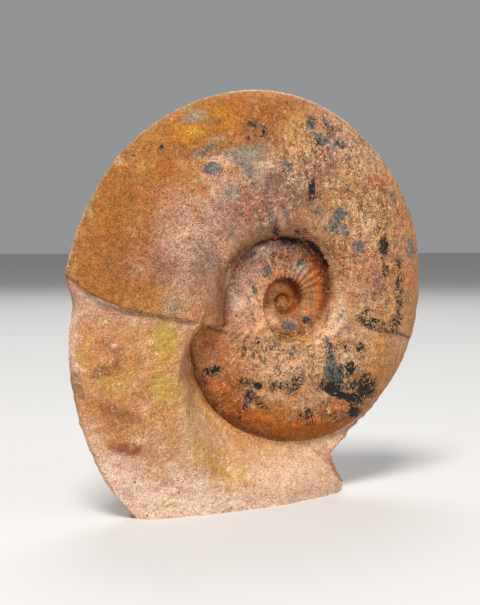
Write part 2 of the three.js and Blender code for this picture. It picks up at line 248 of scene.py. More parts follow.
def shell_mesh():
    """Both sides of the shell as one closed surface, with each point's angle, ratio and side."""
    points, info, sides, faces = [], [], [], []
    inset = 1 - END_STEP / KEEL_RADIUS

    def add(new, facts):
        first = sum(map(len, points))
        points.append(new)
        info.append(facts)
        sides.append(np.full(len(new), side))
        return list(range(first, first + len(new)))

    for side, columns in ((1, NEAR_COLUMNS), (-1, FAR_COLUMNS)):
        far = side < 0
        steps, seam = shell_columns(columns)
        grid, facts, last = shell_grid(steps, seam, side)
        first_outer = last - ROWS
        wanted = np.ones(grid.shape[:2], bool)
        wanted[:first_outer, seam + 1 :] = False
        wanted[ROWS:, 0] = False
        if far:
            wanted[first_outer:, -1] = False
        ids = np.full(wanted.shape, -1)
        ids[wanted] = add(grid[wanted], facts[wanted])
        ids[ROWS:, 0] = ids[:-ROWS, seam]
        if far:
            ids[first_outer:, -1] = keel_ids
        keel_ids = ids[first_outer:, -1]
        faces += grid_faces(ids[: first_outer + 1, : seam + 1], far) + grid_faces(ids[first_outer:], far)
        middle = add(np.array([[0, -side * NUCLEUS_RADIUS * HALF_THICKNESS, 0]]), np.zeros((1, 2)))
        ring = ids[: ROWS + 1, 0].tolist() + ids[0, seam - 1 :: -1].tolist()
        new = [middle + [p, q] for p, q in zip(ring, ring[1:])]
        end = grid[last, 1:] * [inset, END_FLATTENING, inset]
        kept = len(end) - far
        ring = add(end[:kept], facts[last, 1 : kept + 1] * [1, 0]) + ([end_keel] if far else [])
        end_keel = ring[-1]
        rim = ids[last].tolist()
        ring = [rim[0]] + ring
        new.append([rim[0], rim[1], ring[1]])
        new += [[rim[k], rim[k + 1], ring[k + 1], ring[k]] for k in range(1, len(rim) - 1)]
        new += break_faces(ring, ids[first_outer, seam:].tolist())
        faces += [face[::-1] for face in new] if far else new
    return np.concatenate(points), np.concatenate(info), np.concatenate(sides), faces


def break_faces(outer, inner):
    """The broken end of the shell, between its last row and the whorl that it lay on."""
    triangles = [[outer[0], outer[1], inner[1]]]
    last_o, last_i = len(outer) - 1, len(inner) - 1
    o = i = 1
    while o < last_o or i < last_i:
        if i == last_i or (o < last_o and o / last_o <= i / last_i):
            triangles.append([outer[o], outer[o + 1], inner[i]])
            o += 1
        else:
            triangles.append([outer[o], inner[i + 1], inner[i]])
            i += 1
    return triangles


# The limestone

SHELL_STEP = 1.6
SETBACK_ANGLES = [168, 171, 172.8, 174.5, 176.7, 178.6, 180, 182, 184, 190, 200, 212, 222, 229]
SETBACK = [6, 5, 1.6, 2.4, 5, 7, 7.6, 7.2, 6.6, 5.2, 4.2, 2, -0.3, 0.2]
EDGE_HALF_WIDTH = 1.5
FOOT_FLARE = 55
GROOVE_ANGLES = [200, 215, 228, 245, 256, 285, 300]
GROOVE_LEVELS = [3, 1.5, 0.6, 0.8, 2.2, 2.2, 0.4]
RAMP_ANGLES = [185, 212, 228, 245, 262]
RAMP_WIDTHS = [20, 20, 32, 40, 42]
NECK_ANGLES = [184, 190, 195, 200, 206]
NECK_REACH = [20, 16, 9.5, 3.5, 0]  # how far the rock comes in over the whorl
BACK_COVER = 4.5
BACK_UNEVENNESS = 1.1
TOP_THINNING = 2.2
ROOT_DEPTH = 2.5  # how far the back's edge is sunk into the shell
ROCK_BEGIN, ROCK_END = 163, 319.5
BEGIN_LENGTH, END_LENGTH = 50, 2
ROCK_COLUMNS = (32, 50, 12, 48, 16)  # on the ramp, to the edge, across it, down the back, over the shell
FOOT_X = [-96, -92.6, -87.5, -74.8, -61.9, -32.6, -9, 1.2, 20.7, 31.6, 40]
FOOT_FRONT = [8.5, 12.6, 15.8, 18, 20.3, 20.5, 19.6, 16.2, 11.5, 7.9, 1.5]
FOOT_BACK = [-4, 0, 7, 18, 23.4, 24.2, 23, 21, 17, 13, 7]
# The right end: x, z, the angle on the buried keel and the depth.
RIGHT_END = np.array([
    [40, -FOOT_DEPTH, 280.8, 1.5], [40.5, -102.8, 283, 2], [35, -96.5, 285.7, 4], [31, -90.5, 288.6, 6],
    [29.6, -85.5, 290.5, 5.5], [38.7, -80, 299, 3], [46.3, -74.6, 304, 1], [52.8, -69.7, 308, 0.9],
    [60.3, -64.3, 314, 0.8], [66.5, -58.6, ROCK_END, 0.8],
])
FOOT_CORNER = 228.5
ARC_STATIONS, FOOT_STATIONS, END_STATIONS = 150, 120, 8


def stations():
    """Round the rock: the angle on the buried keel, the outline's point, and its depth where given."""
    arc = np.linspace(ROCK_BEGIN, FOOT_CORNER, ARC_STATIONS)
    reach = keel_radius(np.radians(arc)) - np.interp(arc, SETBACK_ANGLES, SETBACK)
    x, z = reach * np.cos(np.radians(arc)), reach * np.sin(np.radians(arc))
    z[-1] = -FOOT_DEPTH
    rows = [np.stack([arc, x, z, arc * np.nan], 1)]
    share = np.linspace(0, 1, FOOT_STATIONS + 1)[1:]
    foot_angle = lerp(FOOT_CORNER, RIGHT_END[0, 2], share)
    foot_x = lerp(x[-1], RIGHT_END[0, 0], share)
    rows.append(np.stack([foot_angle, foot_x, 0 * share - FOOT_DEPTH, share * np.nan], 1))
    share = np.linspace(0, 1, END_STATIONS + 1)[1:, None]
    rows += [lerp(a, b, share)[:, [2, 0, 1, 3]] for a, b in zip(RIGHT_END, RIGHT_END[1:])]
    return np.concatenate(rows)


def rock_height(x, z, depths):
    angle = np.arctan2(z, x) % TURN
    keel = keel_radius(angle)
    edge = 1 - np.interp(np.degrees(angle), SETBACK_ANGLES, SETBACK) / keel
    curve = flank_curve(np.hypot(x, z) / keel, edge)
    whorl = EDGE_HALF_WIDTH + (HALF_THICKNESS * keel - EDGE_HALF_WIDTH - SHELL_STEP) * curve
    down = smoothstep(-z, FOOT_DEPTH - FOOT_FLARE, FOOT_DEPTH)
    thin = 1 - 0.7 * smoothstep(x, 0, 45)
    return lerp(whorl * thin, np.interp(x, FOOT_X, depths), down)


def ramp_width(angle, length):
    return np.minimum(np.interp(angle, RAMP_ANGLES, RAMP_WIDTHS), 0.8 * length)


def rock_front(angle, given, run, length, x, z):
    rock = rock_height(x, z, FOOT_FRONT)
    rock = np.where(np.isnan(given), rock, given)
    rock = rock - TOP_THINNING * smoothstep(angle, 175, 171)
    groove = np.interp(angle, GROOVE_ANGLES, GROOVE_LEVELS)
    climb = np.clip(run / ramp_width(angle, length), 0, 1)
    straight = lerp(0.5, 0.1, smoothstep(angle, 212, 232))
    return lerp(groove, rock, lerp(smoothstep(climb, 0, 1), climb, straight))


def lumps(x, z):
    broad = np.sin(0.11 * x + 0.7) * np.sin(0.13 * z - 0.9)
    fine = np.sin(0.31 * x - 0.23 * z + 1.9) * np.cos(0.27 * z + 0.17 * x)
    return 0.6 * broad + 0.4 * fine


def rock_back(angle, run, x, z):
    theta = np.radians(angle) - TURN
    on_shell = flank_height(theta, np.hypot(x, z) / keel_radius(theta)) + BACK_COVER
    free = rock_height(x, z, FOOT_BACK)
    uneven = BACK_UNEVENNESS * (lumps(x, z) - 0.5) * smoothstep(angle, 185, 215)
    share = smoothstep(run, -4, 16)
    thin = 1 - 0.55 * smoothstep(angle, 300, 320)
    return (lerp(np.minimum(on_shell, free + 3), free, share) + uneven * share) * thin


def cover_reach(angle):
    turn = np.radians(angle)
    wave = 5 * np.sin(3.1 * turn + 0.6) + 3 * np.sin(7.3 * turn)
    ends = smoothstep(angle, 186, 215) * smoothstep(angle, 325, 300)
    return 3 + (20 + wave) * ends


def rock_mesh():
    table = stations()
    angle, edge_x, edge_z, given = (table[:, k : k + 1] for k in range(4))
    turn = np.radians(angle)
    keel = keel_radius(turn - TURN) - np.interp(angle, NECK_ANGLES, NECK_REACH)
    root_x, root_z = keel * np.cos(turn), keel * np.sin(turn)
    length = np.hypot(edge_x - root_x, edge_z - root_z)
    ramp = ramp_width(angle, length)

    def spot(run):
        outwards = np.maximum(run, 0) / length
        inwards = 1 + np.minimum(run, 0) / keel
        x = root_x * inwards + (edge_x - root_x) * outwards
        return x, root_z * inwards + (edge_z - root_z) * outwards

    def front(run):
        x, z = spot(run)
        return x, -rock_front(angle, given, run, length, x, z), z

    def back(run):
        x, z = spot(run)
        return x, rock_back(angle, run, x, z), z

    shares = [np.linspace(0, 1, count)[None, :] for count in ROCK_COLUMNS]
    near = np.concatenate([-0.1 * keel, -0.05 * keel, 0 * keel], 1)
    on_ramp = ramp * shares[0][:, 1:]
    to_edge = lerp(ramp, length, np.sin(shares[1][:, 1:] * math.pi / 2))
    parts = [np.stack(front(np.concatenate([near, on_ramp, to_edge], 1)), 2)]
    x, z = spot(length)
    front_y, back_y = front(length)[1], back(length)[1]
    across = shares[2][:, 1:-1]
    parts.append(np.stack([x + 0 * across, lerp(front_y, back_y, across), z + 0 * across], 2))
    reach = cover_reach(angle)
    runs = np.concatenate([length * np.sin(lerp(math.pi / 2, 0.02, shares[3])), -reach * shares[4]], 1)
    parts.append(np.stack(back(runs), 2))
    x, z = spot(-reach - ROOT_DEPTH)
    parts.append(np.stack([x, 2 + 0 * x, z], 2))
    grid = np.concatenate(parts, 1)
    run = np.concatenate([near, on_ramp, to_edge, length + 0 * across, runs, -reach - ROOT_DEPTH], 1)
    rows, ring = grid.shape[:2]
    ids = np.arange(rows * ring).reshape(rows, ring)
    wrapped = np.concatenate([ids, ids[:, :1]], 1)
    faces = grid_faces(wrapped)
    points = grid.reshape(-1, 3)
    first, last = len(points), len(points) + 1
    for a, b, c, d in zip(wrapped[0], wrapped[0, 1:], wrapped[-1], wrapped[-1, 1:]):
        faces += [[first, b, a], [last, c, d]]
    info = np.stack([angle + 0 * run, run, length + 0 * run], 2).reshape(-1, 3)
    info = np.concatenate([info, [[ROCK_BEGIN, 0, BEGIN_LENGTH], [ROCK_END, 0, END_LENGTH]]])
    return np.concatenate([points, [grid[0].mean(0), grid[-1].mean(0)]]), info, faces


# Meshes and their normals


def vertex_normals(points, faces):
    normals = np.zeros_like(points)
    for size in (3, 4):
        chosen = np.array([f for f in faces if len(f) == size])
        p = points[chosen]
        across = np.cross(p[:, 2] - p[:, 0], p[:, -1] - p[:, 1])
        for k in range(size):
            np.add.at(normals, chosen[:, k], across)
    return normals / np.maximum(np.linalg.norm(normals, axis=1, keepdims=True), 1e-9)


def make_piece(name, points, faces, slot, material, colours, masks):
    mesh = bpy.data.meshes.new(name)
    mesh.from_pydata(((points + SPIRAL_CENTRE) * MM).tolist(), [], faces)
    mesh.validate()
    for polygon in mesh.polygons:
        polygon.use_smooth = True
    tint = np.concatenate([colours, np.ones((len(colours), 1))], 1).astype(np.float32)
    mesh.attributes.new("tint", "FLOAT_COLOR", "POINT").data.foreach_set("color", tint.ravel())
    for key, values in masks.items():
        mesh.attributes.new(key, "FLOAT", "POINT").data.foreach_set("value", values.astype(np.float32))
    mesh.materials.append(material)
    piece = bpy.data.objects.new(name, mesh)
    bpy.context.scene.collection.objects.link(piece)
    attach(piece, "root")
    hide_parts(slot[0])


# Painting: strokes on the page


def strokes(text):
    """The rows of a table, each with the colour named last and its numbers."""
    colour, rows = None, []
    for row in text.replace("\n", ",").split(","):
        words = row.split()
        if words and words[0].isalpha():
            colour = words.pop(0)
        if words:
            rows.append((colour, *map(float, words)))
    return rows


# Each colour: red, green and blue, linear.
TONES = """
ochre .315 .12 .02, orange .42 .158 .014, rust .335 .093 .012, brown .235 .09 .028, mauve .265 .125 .088,
pinkgrey .493 .287 .2, pink .484 .226 .136, salmon .521 .191 .08, tan .493 .235 .092,
peach .595 .296 .12, cream .67 .409 .232, blush .8 .487 .304, red .391 .087 .04,
vermilion .558 .139 .026, grey .298 .226 .16, slate .15 .145 .14, olive .34 .25 .09, gold .52 .31 .045,
dark .1 .045 .025, chalk .84 .6 .45, apricot .85 .45 .16, bone .465 .365 .256
"""
PALETTE = {name: np.array(tone) for name, *tone in strokes(TONES)}

# Each stroke: colour, strength, then x, y, half width, half height and turn of an ellipse on the page.
# A stroke without a colour has the one before, and a stroke without a turn lies straight.
# Some strokes are painted light and shade: the dark and brown ones along the umbilical seams, the rust
# band on the lower whorl's groove side (partly its mineral colour), the chalk ones lightening the
# penultimate whorl's top, and the cream ones on the lit wall right of the umbilicus (partly pale stone).
SHELL_TINTS = """
ochre 1 120 215 75 110, 1 215 120 70 34 10, rust .35 120 250 42 36, brown .35 140 200 26 30
tan .3 88 240 14 30 -15, olive .6 193 113 16 8 20, salmon .45 178 116 20 5 28
orange .9 226 115 14 10 30, .9 190 134 15 11, rust .5 173 146 11 11, .6 164 168 12 10
orange .7 160 174 8 5, gold .4 146 163 9 5, salmon .5 118 162 5 7 30, rust .4 143 205 18 20
salmon .35 155 190 18 12, orange .35 105 268 18 14, .3 100 235 12 14, olive .65 92 203 4 17 16
.5 71 268 4 8 10, salmon .4 82 234 5 14 18, pink .45 164 216 16 20, .5 178 196 12 14
pinkgrey .9 192 238 34 36, .8 196 275 34 30, .6 215 205 16 24, cream .35 186 240 18 20
mauve .35 165 262 18 22, salmon .35 195 310 16 10, pinkgrey .5 182 306 10 9, mauve .5 205 262 14 22
.6 232 232 10 14, .8 262 205 38 36, pink .5 250 203 12 12, red .3 250 204 8 9
mauve .7 292 190 22 22, grey .8 250 155 16 10, .9 246 168 8 9, .8 232 192 8 8
pinkgrey .7 222 178 12 10, cream .5 219 158 11 4, orange .6 204 192 5 7, rust .6 266 108 14 14
salmon .6 241 131 10 9, rust .5 280 124 12 8, orange .4 255 102 20 7, gold .45 296 122 12 10 60
tan .9 297 149 12 8 20, .6 305 170 8 12, brown .4 262 140 20 6, pinkgrey .5 270 165 12 10
cream .35 262 172 10 6, pink .6 330 120 20 14 40, pinkgrey .7 345 155 26 26
cream .5 360 158 10 22 -35, tan .5 350 178 18 14, .7 372 215 12 20, cream .5 369 222 6 12
mauve .4 330 165 14 14, brown .35 330 180 14 14, red .7 322 156 5 6, .6 379 185 9 5 30
salmon .7 398 222 7 18 -12, .5 386 172 6 10 -35, pink .5 400 250 8 20, salmon .6 410 277 6 10
olive .35 376 205 12 10, salmon .6 385 262 14 20, tan .6 392 290 14 26, ochre .4 395 275 10 20
mauve .5 377 280 6 7, salmon .5 352 262 16 20, vermilion .6 343 254 5 6, pink .5 358 285 20 20
mauve .35 365 296 10 12, tan .5 330 235 20 14, .6 300 222 16 8, cream .4 284 222 6 6
peach 1 385 352 28 28, orange .45 388 352 16 22, .35 382 360 12 14, cream .4 404 345 5 12 15
tan .9 300 352 66 26, cream .6 296 358 36 18, .5 350 358 12 8, peach .5 330 345 30 12
cream .9 335 305 8 26 -8, .9 325 334 14 7 -35, bone .5 341 315 4 12, salmon .8 222 345 26 18
pink .7 235 318 14 26, red .35 208 343 10 7, rust .35 228 352 14 8, salmon .6 250 365 24 12
.8 222 385 20 18, vermilion .5 216 385 10 8, rust .9 232 412 30 22 30, vermilion .7 248 412 20 10 20
rust .8 285 424 40 14, orange .6 285 412 34 10, tan .5 285 398 26 8, rust .7 330 418 24 14 -15
orange .7 352 406 10 8, salmon .4 372 405 10 8 -40, red .45 335 428 16 5 -15, cream .4 318 398 18 5
pinkgrey .9 244 288 12 26, cream .4 238 298 10 14, pink .5 262 262 14 12, salmon .6 283 255 16 9
rust .5 296 256 5 12 20, vermilion .8 316 278 5 18 -12, .7 318 304 5 12 10, rust .6 309 262 5 8 -30
grey .6 299 266 7 8, salmon .6 306 306 14 16, .6 290 330 20 7 10, cream .4 266 322 10 12 40
pink .7 276 290 12 11, rust .6 286 298 12 14, dark .9 297.5 290 3.2 13 -8, .6 290 282 8 3 20
rust .7 284 306 8 6, dark .6 271 300 2 5, rust .6 240 378 16 10, brown .6 242 384 16 7 10
vermilion .6 298 422 26 8, brown .5 200 280 14 18, .6 285 331 14 6 10, grey .5 262 180 14 10
tan .35 118 262 18 14, rust .3 100 250 30 30, brown .5 120 255 30 26, .4 150 268 26 12
rust .5 255 105 40 14, brown .5 262 128 22 10, .3 270 108 18 10, mauve .6 285 195 26 20
brown .3 300 190 30 24, grey .5 219 140 12 4 -20, pink .7 244 272 14 20, .6 236 300 10 22
pinkgrey .6 246 306 10 14, salmon .3 272 258 14 12, red .4 292 256 6 9 20, peach .6 350 372 16 14
orange .5 372 382 14 16, cream .4 272 372 26 10, tan .4 262 350 24 14, brown .4 194 118 22 8 -15
.55 180 154 13 9, .45 208 158 16 9, .4 284 108 28 8 10, rust .7 278 122 10 8, brown .5 323 154 14 14
cream .5 304 184 8 9, brown .4 350 194 26 9 20, .4 384 202 9 11, cream .7 280 220 6 7
pinkgrey .8 270 252 16 11, .7 258 270 9 10, chalk .6 233 284 5 13, brown .8 220 270 4 14 8
.6 308 288 7 12 -10, .5 320 306 8 15, .6 294 322 22 7, .5 250 312 12 9 20, cream .9 329 264 4 14 -8
.6 362 316 9 18, .4 357 340 12 12, .5 346 364 8 5, brown .5 376 281 5 8, .35 298 346 14 8
rust .9 207 390 4 15 -20, .9 228 410 13 10 40, .8 252 424 16 7 20, ochre .6 300 432 36 8
.5 336 424 14 8 -20, .7 354 408 8 9 -30, pink .5 142 266 14 14, pinkgrey .5 208 214 9 14
slate .35 246 172 9 7, .35 284 172 12 6, .3 330 222 7 7, .3 292 230 8 6, chalk .7 278 247 17 5
.5 262 253 12 5 -20, orange .5 282 291 13 14, salmon .4 290 306 10 6, rust .35 275 112 36 12 5
.6 274 243 18 3, orange .5 289 292 8 14, gold .3 330 272 4 20, brown .4 192 118 9 7, .5 280 124 8 7
.5 316 154 7 9, .5 184 149 7 6, slate .5 219 160 5 5, dark .45 220 278 4 12 6, .35 304 294 4 10
brown .5 292 268 5 4, .4 268 280 4 6, .5 315 328 5 4, grey .5 340 326 4 6, brown .3 172 218 7 16
.2 88 232 6 16, tan .3 136 162 8 14, .35 136 226 9 22, rust .8 226 410 14 12 40, .6 300 430 50 7
brown .25 350 160 30 32, orange .7 203 398 5 22 -26
"""

# Marks with crisp edges, in the same form. The brown, olive and dark marks round the umbilical seams are
# painted shade; the cream, bone, chalk and gold marks on the umbilicus's right and lower walls are
# painted highlights over paler stone.
SHELL_MARKS = """
brown .55 222 300 5 26 4, .6 229 268 7 16 35, .6 246 250 16 7 -38, .55 268 241 18 6 -5
olive .5 296 241 14 6 22, tan .3 214 300 4 24 4, dark .9 236 258 14 2.6 -50
.95 252 246.5 12 2.8 -28, .6 270 240 16 2 -4, olive .4 255 238 18 5 -20, dark .9 292 244 14 3 18
vermilion .6 321 284 2.6 18 -6, rust .5 326 296 2.4 20 2, dark .8 323 285 0.9 22 -4
vermilion .7 311 268 5 12 -25, gold .7 336 268 3 5, chalk .7 262 249 8 3 -15, .6 277 246 6 3
red .6 270 256 6 3 10, slate .6 251 262 4 5, vermilion .6 301 256 7 4 38, chalk .6 288 250 4 5 20
brown .6 282 252 1.6 8 15, .5 293 257 1.6 8 30, slate .7 303 267 3 5 40
vermilion .6 314 262 4 9 -40, chalk .5 243 276 5 6 20, mauve .5 240 292 4 8
brown .5 250 281 2 6 -40, chalk .5 238 304 5 5, gold .8 298 343 16 1.8 -4, .7 324 334 6 2.4 -32
olive .5 284 341 8 1.6 10, cream .85 338 304 5 26 -8, .8 327 333 13 5 -38, bone .6 342 312 3 16 4
.6 302 268 4 9 40, .5 296 262 2 9 30, grey .6 293 271 3 10 35, brown .5 287 266 2 9 22
red .6 262 262 3 5, salmon .6 285 252 14 3 8, pink .6 276 290 11 9, dark .9 298 292 2.8 12 -4
.7 290 281 8 2.6 22, rust .8 284 296 9 3, salmon .3 283 303 3.4 5 20, dark .7 277 297 1.6 6 15
.6 282 308 6 1.6 10, red .75 322 156 5 5, rust .75 198 214 4 8 -15, red .6 204 192 4 6 -20
brown .5 118 152 8 3 20, cream .5 116 160 10 3 25, rust .6 166 176 8 3, brown .6 218 121 6 4
dark .45 244 130 3 6 20, red .6 247 204 5 4 -30, .7 240 192 3 4, cream .6 213 160 14 3 8
.6 205 178 9 3 -20, .6 226 158 8 2, bone .6 232 192 6 8, grey .7 244 156 18 4 10
slate .45 246 150 22 5 -15, .4 222 200 6 12 20, .5 214 262 6 8, .45 234 228 5 9 30
mauve .7 232 218 5 9 40, slate .4 262 186 7 4 20, mauve .7 272 180 10 6 20, .6 268 204 8 8
slate .4 278 212 6 4, mauve .6 308 168 6 9, slate .5 326 150 8 3 30, red .4 262 196 5 4 20
.4 290 204 5 3, pink .6 284 190 6 4, salmon .5 256 192 4 6 30, grey .6 172 305 8 8
mauve .6 179 303 5 5, bone .5 170 312 3 8, mauve .6 231 224 6 9 20, .7 236 210 3 5
cream .8 306 152 7 5 20, .6 272 166 9 4 20, .6 330 182 7 5, .7 366 196 5 6, .7 364 226 4 14 -8
.6 352 206 8 5, .7 318 232 12 4 30, red .5 377 183 9 4 30, salmon .6 393 204 5 10 -20
vermilion .6 343 252 3 6, orange .6 336 271 3 5, red .6 377 281 4 6 20, salmon .7 408 275 4 9
.5 352 300 8 5, cream .5 341 300 4 16, bone .6 343 315 3 10 12, peach .7 380 344 12 8
cream .6 400 342 8 3 20, .8 347 355 6 3 20, vermilion .5 352 403 6 3 20, .5 222 388 14 6 20
.45 250 416 16 5 18, .6 300 422 20 6, .5 340 410 12 8, rust .5 262 424 20 5 25, .5 330 426 14 4 -10
cream .5 300 406 18 2.5 -4, .5 274 397 12 3 14, rust .5 276 408 14 5 10, peach .8 384 352 16 14
orange .5 381 355 3 20, .4 388 350 2 18, pink .6 396 350 6 12, rust .5 222 362 10 3 30
red .45 208 345 7 3 30, mauve .6 350 346 8 5, .5 294 350 8 6, rust .8 322 157 5 6
slate .7 310 130 3 5 -20, .7 320 138 6 3 40, .6 288 167 5 3 20, .6 302 164 3 2, .6 335 148 4 3
.6 340 140 3 4 20, .7 340 216 5 4, .5 336 227 9 6 20, .5 318 215 5 3 10, .5 363 247 3 8 35
.5 412 248 3 9 -8, salmon .7 402 214 5 13 -14, .6 378 178 5 5, rust .7 377 186 8 3 35
peach .9 298 150 10 5 20, .7 350 172 12 4 20, cream .7 368 223 4 13 -6, .6 359 213 5 5
.6 374 156 2.5 9 -35, brown .5 383 208 8 8, .4 364 193 9 5, orange .6 345 256 4 5
salmon .7 408 273 4 8 -6, cream .8 333 268 3.4 13 -10, mauve .6 377 284 4 7 20, .6 283 184 12 9 20
grey .6 241 153 20 6 -8, slate .6 247 167 7 5, .55 232 192 6 6, .8 211 169 8 4 -15
.6 200 154 7 4 30, blush .7 217 157 8 1.6 -16, pink .7 202 175 4 4, cream .6 262 168 7 3 10
peach .8 247 187 4 3, blush .6 215 194 7 5, red .7 245 205 5 5, .6 277 213 4 3
orange .7 224 113 12 5 15, gold .5 192 130 12 4 20, rust .6 168 168 9 7, brown .7 198 213 3 5
.5 185 216 4 4, .6 257 128 12 8, grey .6 196 116 13 5 -20, pink .6 222 236 3 14 14
mauve .5 226 222 4 12 20, vermilion .8 305 260 5 3 30, .8 316 270 4 8 -20, .8 319 284 3 10
.7 320 303 3 9 4, bone .7 301 270 6 6 20, salmon .7 272 288 8 8, rust .8 297 285 4 13
orange .6 289 300 7 6, chalk .5 331 316 3 16 -6, gold .6 298 339 18 2.6, cream .7 321 331 12 3 -42
.6 329 312 3 13 -6, mauve .4 262 262 4 4, pink .5 248 266 8 7 -40, olive .5 141 270 7 3 10
slate .4 136 267 2 2, olive .5 183 304 6 6, mauve .6 231 226 5 14 -15, pinkgrey .4 231 226 7 16 -15
mauve .4 197 153 7 4 -20, brown .55 236 260 13 4.5 -48, .3 264 242 14 4 -10, rust .35 288 239 20 4 4
"""

SHELL_SLATE = """
.7 331 360 7 6, .5 252 396 12 6 20, .5 214 368 10 4, .55 162 146 4 4, .5 115.5 197 2.6 3
.35 115.5 225 2.5 2.5, .35 139.6 266.7 3 2.5, .35 152 274 3 2.5, .5 199 156 9 6, .95 212 168 9 7
.7 208 149 9 4, .5 196 118 10 3 10, .5 214 146 4 4, .45 190 116 8 3 10, .4 231 158 12 4
.5 241 163 6 6, .6 241 211 5 6, .5 231 228 7 9, .45 210 259 9 8, .4 200 275 10 8, .5 173 310 3 6
.6 188 304 6 1.5 30, .5 249 137 4 3, .45 257 125 7 6, .35 258 132 6 8, .8 289 168 6 5
.5 303 164 4 3, .7 321 139 8 5 30, .6 311 124 6 7, .5 326 120 6 8 -30, .45 338 143 8 4
.7 319 215 7 4, .85 339 215 8 6, .55 338 228 14 8, .55 346 188 3.5 4, .6 360 247 7 9 20
.55 393 198 3 8 -25, .65 410 250 4 12 -12, .35 402 212 3 7 -20, .5 253 254 6 3 10
.85 267 272 5 6 20, .65 255 290 4 4, .8 252 255 7 3.4 -20, .6 312 291 2.6 7 -5, .5 300 264 7 4 -50
.6 311.5 288 3 5, .9 289 325 8 5.5 10, .7 306 319 4.5 5, .55 341 316 3.5 8 10, .45 296 353 7 6
.75 329 346 3.6 9 -15, .98 333 371 9 13, .9 338 380 8 7, .55 210 370 8 4 -8, .5 248 398 10 7 20
.45 262 400 6 5, .4 366 300 4 4, .4 372 286 4 6 30, .5 285 216 5 5, .35 270 225 8 6
.35 295 212 10 5, .4 268 216 6 6, .8 287 168 5 4, .6 271 206 3 4, .6 275 217 4 5, .6 318 215 7 5 20
.7 212 149 3 2.5
"""

# Where the black mineral lies. The strokes along the top and right of the umbilical seam stand also for
# its painted shadow.
SHELL_DARK = """
.8 162 147 3.2 3.2, .5 131 154 5 3, .4 211 225 3 3, .5 209 149 4 4, .55 249 138 4 3, .5 255 124 7 6
.5 263 131 6 8, .5 312 122 6 7, .6 320 141 6 5, .5 330 130 6 9 -20, .5 341 145 7 4
.9 312 188 3.2 14 8, .6 310 198 3 6, .5 316 196 5 4, .5 347 188 3 4, .85 275.5 231 5 4.5
.7 297 233 4.5 4, .6 305 232 4 3.5, .95 383.5 248 4.6 12 6, .7 386 270 4 8, .6 377 230 3.5 4
.6 381 222 3 4, .6 399 262 4 7, .65 400 285 5 13, .6 399 305 4.5 13, .6 396 322 7 9
.6 376 322 11 5 20, .75 368 323 8 5 35, .6 388 329 13 3.5 12, .5 376 296 4 8 25, .6 367 312 4 6 40
.5 360 318 4 6 20, .85 290 241.5 17 2.6 6, .95 314 248 14 3.8 45, .8 324 261 8 3 60
.6 326 274 1.8 9 -12, .45 327 290 2 9, .6 262 243 9 1.8 -10, .5 300 240 6 3 30, .5 326 316 4 7 25
.85 306 320 3.6 3.6, .6 257 340 4 4, .35 246 343 5 6, .6 360 347 3.5 7, .5 346 350 4 4
.5 335 372 10 9 -20, .9 351 368 6.5 6, .6 345 371 7 7 30, .62 343 380 5 7 20, .98 331 388 12 5 6
.95 338 394 10 4.5 10, .95 351 396 11 4 6, .9 366 390 9 9 -30, .7 368 376 5 7 -40, .7 360 400 4 5
.85 354 412 7 6 -30, .55 345 384 7 5, .5 359 382 4 5, .8 211 370 9 3.8 -8, .7 245 380 5 3.6 20
.82 258 386 5.5 3.4 25, .82 274 389 5 3.6 10, .6 283 386 2.5 4, .62 291 391 6 4 15, .5 302 381 3.6 5
.4 309 389 6.5 3.6, .65 249 397 5.5 6, .6 260 404 6 4 20, .7 240 415 3.6 5, .45 205 382 4 5
.6 309 419 8 7 30, .6 338 418 8 4, .5 318 388 4 4, .5 275 347 9 4 20, .4 300 372 7 4
.35 324 380 8 7, .5 347 377 7 5, .5 364 389 5 5, .8 352 401 8 3.4 10, .7 366 384 12 10 -20
.4 358 406 4 10 -30, .3 322 372 8 8, .6 282 386 24 4 8, .55 252 384 12 4 15, .55 296 384 6 8
.25 312 376 6 8, .5 250 396 8 8 20, .5 212 372 12 5 -8, .45 306 418 10 6 20, .45 336 414 10 4 -10
.5 243 352 5 7, .45 262 350 4 4, .45 246 408 4 8, .45 264 408 8 3 10, .5 330 350 5 10
.5 364 350 4 9, .6 332 381 12 4, .7 351 363 2.5 4, .9 327 388 6 4, .5 345 387 8 5 20, .5 352 380 5 7
.6 369 384 9 9 -20, .8 362 386 4 8 -30, .55 352 385 8 4 -30, .6 308 412 7 4 30
"""

# How strongly the surface is covered with worm-like pale and dark marks: the pale curls are painted
# highlights, the dark curls partly the stone's marks and partly painted shade.
SHELL_WORM = """
1 330 165 60 50, 1 360 230 50 60, .7 270 195 42 34, 1 300 355 75 34, .8 380 300 26 50
.8 340 395 44 20, .4 235 385 30 34, .8 250 290 24 40, .7 222 165 26 18, 1 286 258 34 18
.4 285 115 40 20, .4 200 240 34 36, 1 312 412 26 9, .9 338 416 14 7, .45 250 396 30 14 20
.35 290 320 26 16
"""


def ellipse(page, x, y, half_width, half_height, turn=0, edge=0.45):
    """1 inside and 0 well outside, with a soft edge. A positive turn leans it down to the right."""
    c, s = math.cos(math.radians(turn)), math.sin(math.radians(turn))
    u, v = page[:, 0] - x, page[:, 1] - y
    far = np.hypot((u * c + v * s) / half_width, (v * c - u * s) / half_height)
    return smoothstep(far, 1 + edge, 1 - edge)


def tinted(page, colours, text):
    for name, strength, *shape in strokes(text):
        colours = lerp(colours, PALETTE[name], (strength * ellipse(page, *shape, edge=0.6))[:, None])
    return colours


def covered(page, text):
    covers = [strength * ellipse(page, *shape, edge=0.5) for _, strength, *shape in strokes(text)]
    return np.max(covers, 0)


def warped(page, *waves):
    """The page with its places shifted about, by waves of a size, an amount and a seed."""
    for size, amount, seed in waves:
        u, v = page.T
        page = page + amount * np.stack([rough(u, v, size, seed), rough(u, v, size, seed + 50)], 1)
    return page


def flipped(page, sides):
    """On the hidden side the page is turned over, left to right, so that it isn't a plain mirror."""
    return np.where(sides[:, None] > 0, page, [500, 12] + page * [-1, 0.96])


